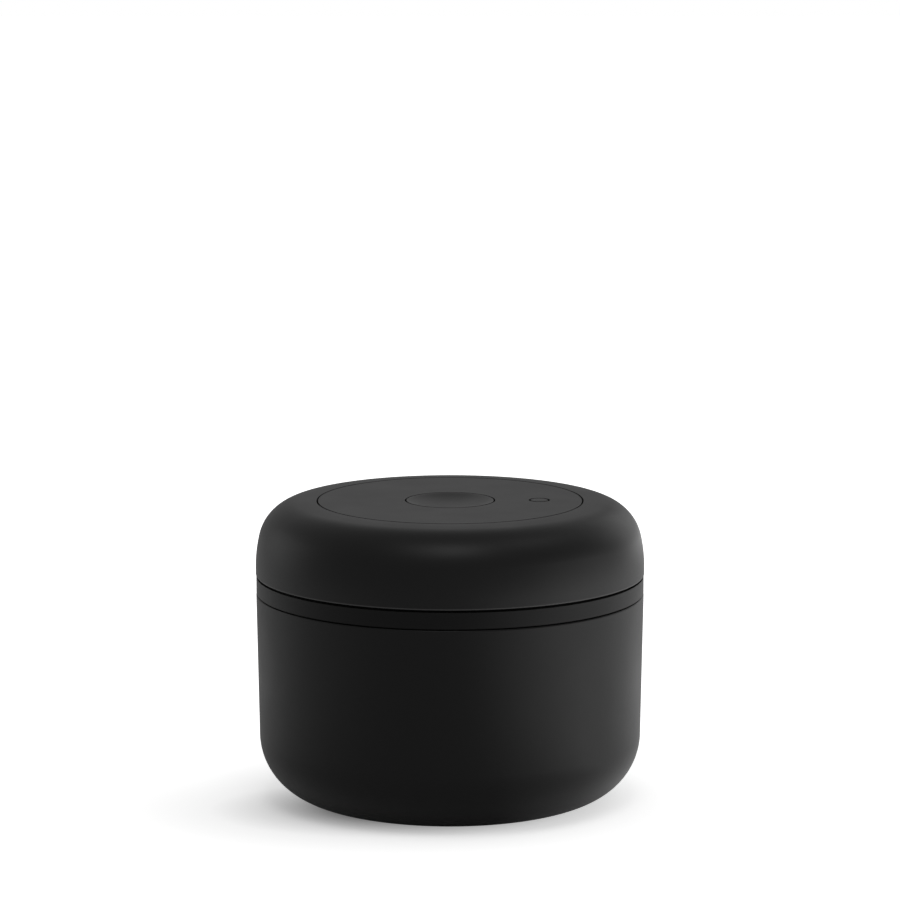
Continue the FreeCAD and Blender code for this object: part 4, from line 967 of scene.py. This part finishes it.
class CANISTER_OT_indicator(Operator):
    """Turns the indicator pin and the diaphragm that carries it"""
    bl_idname = "canister.indicator"
    bl_label = "Vacuum indicator"

    def execute(self, context):
        sizes = context.scene.canister_valves
        cap = context.scene.canister_cap
        place = middle("indicator_pin")
        top = level("indicator_pin", HIGH)
        stop = top - cap.face_thickness - cap.sleeve_depth
        flange = width("indicator_pin") / 2
        flange_low = stop - sizes.pin_flange_height
        rod = sizes.pin_rod / 2
        rod_low = level("indicator_pin", LOW)
        pin = turned("indicator_button", [
            (0.0, top), (sizes.pin_diameter / 2, top, cap.seam_round), (sizes.pin_diameter / 2, stop),
            (flange, stop, cap.seam_round), (flange, flange_low, cap.seam_round), (rod, flange_low),
            (rod, rod_low), (0.0, rod_low)], place, PIN_STEPS)
        hand_over(context, pin, "indicator", slot_of("indicator_pin"), "indicator_pin")

        hub_low = level("indicator_diaphragm", LOW)
        hub_high = level("indicator_diaphragm", HIGH)
        foot = hub_low + sizes.hub_drop
        web = foot + sizes.web_drop
        web_high = web + sizes.web_thickness
        hub = sizes.hub_diameter / 2
        bore = sizes.bead_bore / 2
        moving = bore - sizes.web_thickness
        socket_low = hub_high - sizes.hub_socket
        edge = sizes.web_thickness * sizes.web_round
        middle_piece = turned("diaphragm_hub", [
            (0.0, hub_low), (hub, hub_low, edge), (hub, web), (moving, web), (moving, web_high),
            (hub, web_high), (hub, hub_high, edge), (rod, hub_high), (rod, socket_low), (0.0, socket_low)],
            place, PIN_STEPS)
        hand_over(context, middle_piece, "indicator", slot_of("indicator_diaphragm"), "indicator_diaphragm")
        outer = width("indicator_diaphragm") / 2
        bead_high = foot + sizes.bead_height
        bead = turned("diaphragm_bead", [
            (bore, foot), (outer, foot, edge), (outer, bead_high, edge), (bore, bead_high, edge),
            (bore, web_high), (moving, web_high), (moving, web), (bore, web)], place, PIN_STEPS)
        hand_over(context, bead, "lid", slot_of("indicator_diaphragm"))
        return {"FINISHED"}


# Springs

def wound(name, node, wire, turns):
    """Winds a round wire up from the foot of a CAD spring to its head."""
    low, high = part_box(node)
    place = middle(node)
    coil = width(node) / 2 - wire / 2
    climb = high.z - low.z - wire
    bpy.ops.object.select_all(action="DESELECT")
    bpy.ops.mesh.primitive_circle_add(
        vertices=WIRE_STEPS, radius=wire / 2, location=(coil, 0.0, low.z + wire / 2),
        rotation=(math.pi / 2, 0.0, 0.0))
    spring = bpy.context.object
    spring.name = name
    spring.data.name = name
    bpy.ops.object.transform_apply(location=True, rotation=True, scale=True)
    winding = spring.modifiers.new("Winding", "SCREW")
    winding.screw_offset = climb / turns
    winding.iterations = turns
    winding.steps = COIL_STEPS
    winding.render_steps = COIL_STEPS
    bpy.ops.object.modifier_apply(modifier=winding.name)
    bpy.ops.object.mode_set(mode="EDIT")
    bpy.ops.mesh.select_all(action="SELECT")
    bpy.ops.mesh.fill_holes(sides=WIRE_STEPS)
    bpy.ops.mesh.select_all(action="SELECT")
    bpy.ops.transform.translate(value=(*place, 0.0))
    close_up()
    return spring


class CANISTER_OT_springs(Operator):
    """Winds the springs under the button and the indicator"""
    bl_idname = "canister.springs"
    bl_label = "Springs"

    def execute(self, context):
        sizes = context.scene.canister_springs
        springs = (
            ("button_coil", "release_spring", "button_press", sizes.release_wire,
             sizes.release_turns, sizes.release_travel),
            ("indicator_coil", "indicator_spring", "indicator_sink", sizes.indicator_wire,
             sizes.indicator_turns, sizes.indicator_travel),
        )
        for name, node, joint, wire, turns, travel in springs:
            spring = wound(name, node, wire, turns)
            hand_over(context, spring, "lid", slot_of(node), node)
            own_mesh(spring)
        return {"FINISHED"}


class CANISTER_OT_inner_finishes(Operator):
    """Gives every piece that is shown as the frame has it its finish"""
    bl_idname = "canister.inner_finishes"
    bl_label = "Finishes of the inner pieces"

    def execute(self, context):
        replaced = set()
        for piece in bpy.data.objects:
            replaced.update(piece.get("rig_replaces", []))
        for node, piece in frame["nodes"].items():
            if node in replaced:
                continue
            for material_slot in piece.material_slots:
                material_slot.material = finish(context, slot_of(node))
        return {"FINISHED"}


# Stage

class Lamp:
    """A soft rectangular lamp: its direction from the canister, its distance, its size and its power.

    The azimuth runs from the camera to the right, the rise up from the floor, both in degrees.
    """
    def __init__(self, name, azimuth, rise, distance, wide, tall, power):
        self.name = name
        self.size = (wide, tall)
        self.power = power
        turn = math.radians(azimuth)
        lift = math.radians(rise)
        reach = distance * math.cos(lift)
        self.place = Vector((reach * math.sin(turn), -reach * math.cos(turn), distance * math.sin(lift)))


# Soft lamps round the canister, strongest from above and from the right
LAMPS = (
    Lamp("overhead", azimuth=0, rise=64, distance=1.0, wide=0.4, tall=0.45, power=1.29),
    Lamp("right high", azimuth=90, rise=60, distance=1.0, wide=0.4, tall=0.3, power=0.344),
    Lamp("right back", azimuth=140, rise=14, distance=1.0, wide=0.7, tall=0.6, power=0.9),
    Lamp("left", azimuth=-116, rise=11, distance=1.0, wide=0.65, tall=0.5, power=0.571),
    Lamp("back", azimuth=180, rise=30, distance=1.0, wide=0.4, tall=0.25, power=0.104),
    Lamp("low right", azimuth=78, rise=5, distance=0.7, wide=0.6, tall=0.25, power=0.246),
)

# Bright cards that lie on the floor, most of them at the right, and throw light up at the canister
CARDS = (
    Lamp("right card", azimuth=90, rise=0, distance=0.3, wide=0.36, tall=0.36, power=0.143),
    Lamp("right front card", azimuth=52, rise=0, distance=0.333, wide=0.36, tall=0.36, power=0.323),
    Lamp("far right card", azimuth=90, rise=0, distance=0.75, wide=0.5, tall=0.9, power=1.25),
    Lamp("far back card", azimuth=158, rise=0, distance=0.9, wide=0.6, tall=0.6, power=1.7),
    Lamp("left card", azimuth=-90, rise=0, distance=0.3, wide=0.36, tall=0.36, power=0.079),
)


def set_lamp(lamp, place, target):
    """Puts up a lamp that faces a target; the camera looks through it."""
    way = target - place
    bpy.ops.object.light_add(type="AREA", location=place, rotation=way.to_track_quat("-Z", "Y").to_euler())
    light = bpy.context.object
    light.name = lamp.name
    light.visible_camera = False
    light.data.shape = "RECTANGLE"
    light.data.size, light.data.size_y = lamp.size
    light.data.energy = lamp.power


def floor_material(colours, stage):
    """Pale paper that keeps the lamps' shade at the foot, deepened by painted shade, fades to white and is
    clear from below.

    The camera sees the white all round, except in an oval left of and in front of the foot where the glow is
    held back: painted shade. Reflections also see a glow at the right, clear of the foot, which stands in for
    light on the paper there: a painted reflection.
    """
    material = empty_material("Pale studio paper")
    material.cycles.emission_sampling = "NONE"
    tree = material.node_tree
    place = add_node(tree, "ShaderNodeTexCoord").outputs["Object"]
    # Painted shade: the glow is held back in an oval left of and in front of the foot, deepening the lamps'
    # shadow there
    shade_middle = (-stage.shade_left, -stage.shade_front, 0.0)
    oval = add_node(tree, "ShaderNodeMapping", {
        "Vector": place, "Location": shade_middle, "Scale": (1.0, stage.shade_depth, 1.0)},
        vector_type="TEXTURE")
    distance = add_node(tree, "ShaderNodeVectorMath", {0: oval.outputs["Vector"]}, operation="LENGTH")
    near = add_node(tree, "ShaderNodeMapRange", {
        "Value": distance.outputs["Value"], "From Min": stage.shade_start, "From Max": stage.shade_end})
    far = add_node(tree, "ShaderNodeMapRange", {
        "Value": distance.outputs["Value"], "From Min": stage.shade_end, "From Max": stage.fade_end,
        "To Min": stage.shade_lift, "To Max": 1.0})
    # Painted reflection: a glow that only reflections see, at the right and clear of the foot
    reach = add_node(tree, "ShaderNodeVectorMath", {0: place}, operation="LENGTH")
    clear_of_foot = add_node(tree, "ShaderNodeMapRange", {
        "Value": reach.outputs["Value"], "From Min": stage.foot_start, "From Max": stage.foot_end})
    way = add_node(tree, "ShaderNodeVectorMath", {0: place}, operation="NORMALIZE")
    parts = add_node(tree, "ShaderNodeSeparateXYZ", {"Vector": way.outputs["Vector"]})
    side = add_node(tree, "ShaderNodeMapRange", {
        "Value": parts.outputs["X"], "From Min": stage.side_start, "From Max": 1.0,
        "To Min": 0.0, "To Max": stage.side_glow})
    path = add_node(tree, "ShaderNodeLightPath").outputs
    faded = add_node(tree, "ShaderNodeMath", {
        0: near.outputs["Result"], 1: far.outputs["Result"]}, operation="MULTIPLY")
    seen = add_node(tree, "ShaderNodeMath", {
        0: faded.outputs["Value"], 1: path["Is Camera Ray"]}, operation="MULTIPLY")
    reflected_glow = add_node(tree, "ShaderNodeMath", {
        0: side.outputs["Result"], 1: clear_of_foot.outputs["Result"]}, operation="MULTIPLY")
    glow = add_node(tree, "ShaderNodeMath", {
        0: reflected_glow.outputs["Value"], 1: path["Is Glossy Ray"], 2: seen.outputs["Value"]},
        operation="MULTIPLY_ADD")
    paper = add_node(tree, "ShaderNodeBsdfDiffuse", {"Color": tuple(colours.floor)})
    white = add_node(tree, "ShaderNodeEmission", {"Color": WHITE, "Strength": glow.outputs["Value"]})
    lit = add_node(tree, "ShaderNodeAddShader", {0: paper.outputs["BSDF"], 1: white.outputs["Emission"]})
    back = add_node(tree, "ShaderNodeNewGeometry").outputs["Backfacing"]
    clear = add_node(tree, "ShaderNodeBsdfTransparent")
    surface = add_node(tree, "ShaderNodeMixShader", {
        0: back, 1: lit.outputs["Shader"], 2: clear.outputs["BSDF"]})
    add_node(tree, "ShaderNodeOutputMaterial", {"Surface": surface.outputs["Shader"]})
    return material


class CANISTER_OT_stage(Operator):
    """Lays the pale floor, sets the soft lamps and places the camera"""
    bl_idname = "canister.stage"
    bl_label = "Stage"

    def execute(self, context):
        scene = context.scene
        stage = scene.canister_stage
        bpy.ops.object.select_all(action="DESELECT")
        bpy.ops.mesh.primitive_plane_add(size=stage.floor_size)
        floor = bpy.context.object
        floor.name = "floor"
        floor.data.materials.append(floor_material(scene.canister_finishes, stage))

        scene.world = bpy.data.worlds.new("Studio")
        scene.world.use_nodes = True
        tree = scene.world.node_tree
        tree.nodes.clear()
        seen = add_node(tree, "ShaderNodeLightPath").outputs["Is Camera Ray"]
        strength = add_node(tree, "ShaderNodeMapRange", {
            "Value": seen, "To Min": stage.ambient, "To Max": 1.0})
        sky = add_node(tree, "ShaderNodeBackground", {"Color": WHITE, "Strength": strength.outputs["Result"]})
        add_node(tree, "ShaderNodeOutputWorld", {"Surface": sky.outputs["Background"]})

        up = Vector((0.0, 0.0, 1.0))
        aim = up * level("canister_shell", HIGH)
        for lamp in LAMPS:
            set_lamp(lamp, lamp.place + aim, aim)
        for card in CARDS:
            foot = card.place + up * CARD_LIFT
            set_lamp(card, foot, foot + up)

        bpy.ops.object.camera_add(location=(0.0, -stage.camera_distance, stage.camera_height),
                                  rotation=(math.pi / 2 - stage.camera_pitch, 0.0, 0.0))
        scene.camera = bpy.context.object
        scene.camera.data.sensor_width = SENSOR
        scene.camera.data.lens = stage.lens
        scene.view_settings.view_transform = "Standard"
        return {"FINISHED"}


# Add-on

class CANISTER_PT_panel(Panel):
    """Lists the steps that build the canister"""
    bl_idname = "CANISTER_PT_panel"
    bl_label = "Coffee canister"
    bl_space_type = "VIEW_3D"
    bl_region_type = "UI"
    bl_category = "Canister"

    def draw(self, context):
        for step in STEPS:
            self.layout.operator(step.bl_idname)


GROUPS = {
    "canister_bowl": BowlSizes,
    "canister_lid": LidSizes,
    "canister_screws": ScrewSizes,
    "canister_cap": CapSizes,
    "canister_valves": ValveSizes,
    "canister_springs": SpringSizes,
    "canister_finishes": Finishes,
    "canister_stage": StageSizes,
}

STEPS = (
    CANISTER_OT_bowl,
    CANISTER_OT_lid_base,
    CANISTER_OT_lid_rings,
    CANISTER_OT_cover,
    CANISTER_OT_cover_screws,
    CANISTER_OT_cap,
    CANISTER_OT_face_plate,
    CANISTER_OT_button,
    CANISTER_OT_indicator,
    CANISTER_OT_springs,
    CANISTER_OT_inner_finishes,
    CANISTER_OT_stage,
)


def register():
    for group in (*GROUPS.values(), *STEPS, CANISTER_PT_panel):
        bpy.utils.register_class(group)
    for name, group in GROUPS.items():
        setattr(bpy.types.Scene, name, PointerProperty(type=group))


def unregister():
    for name in GROUPS:
        delattr(bpy.types.Scene, name)
    for group in (CANISTER_PT_panel, *reversed(STEPS), *reversed(GROUPS.values())):
        bpy.utils.unregister_class(group)


def main():
    register()
    for step in STEPS:
        family, name = step.bl_idname.split(".")
        getattr(getattr(bpy.ops, family), name)()


if __name__ == "__main__":
    main()
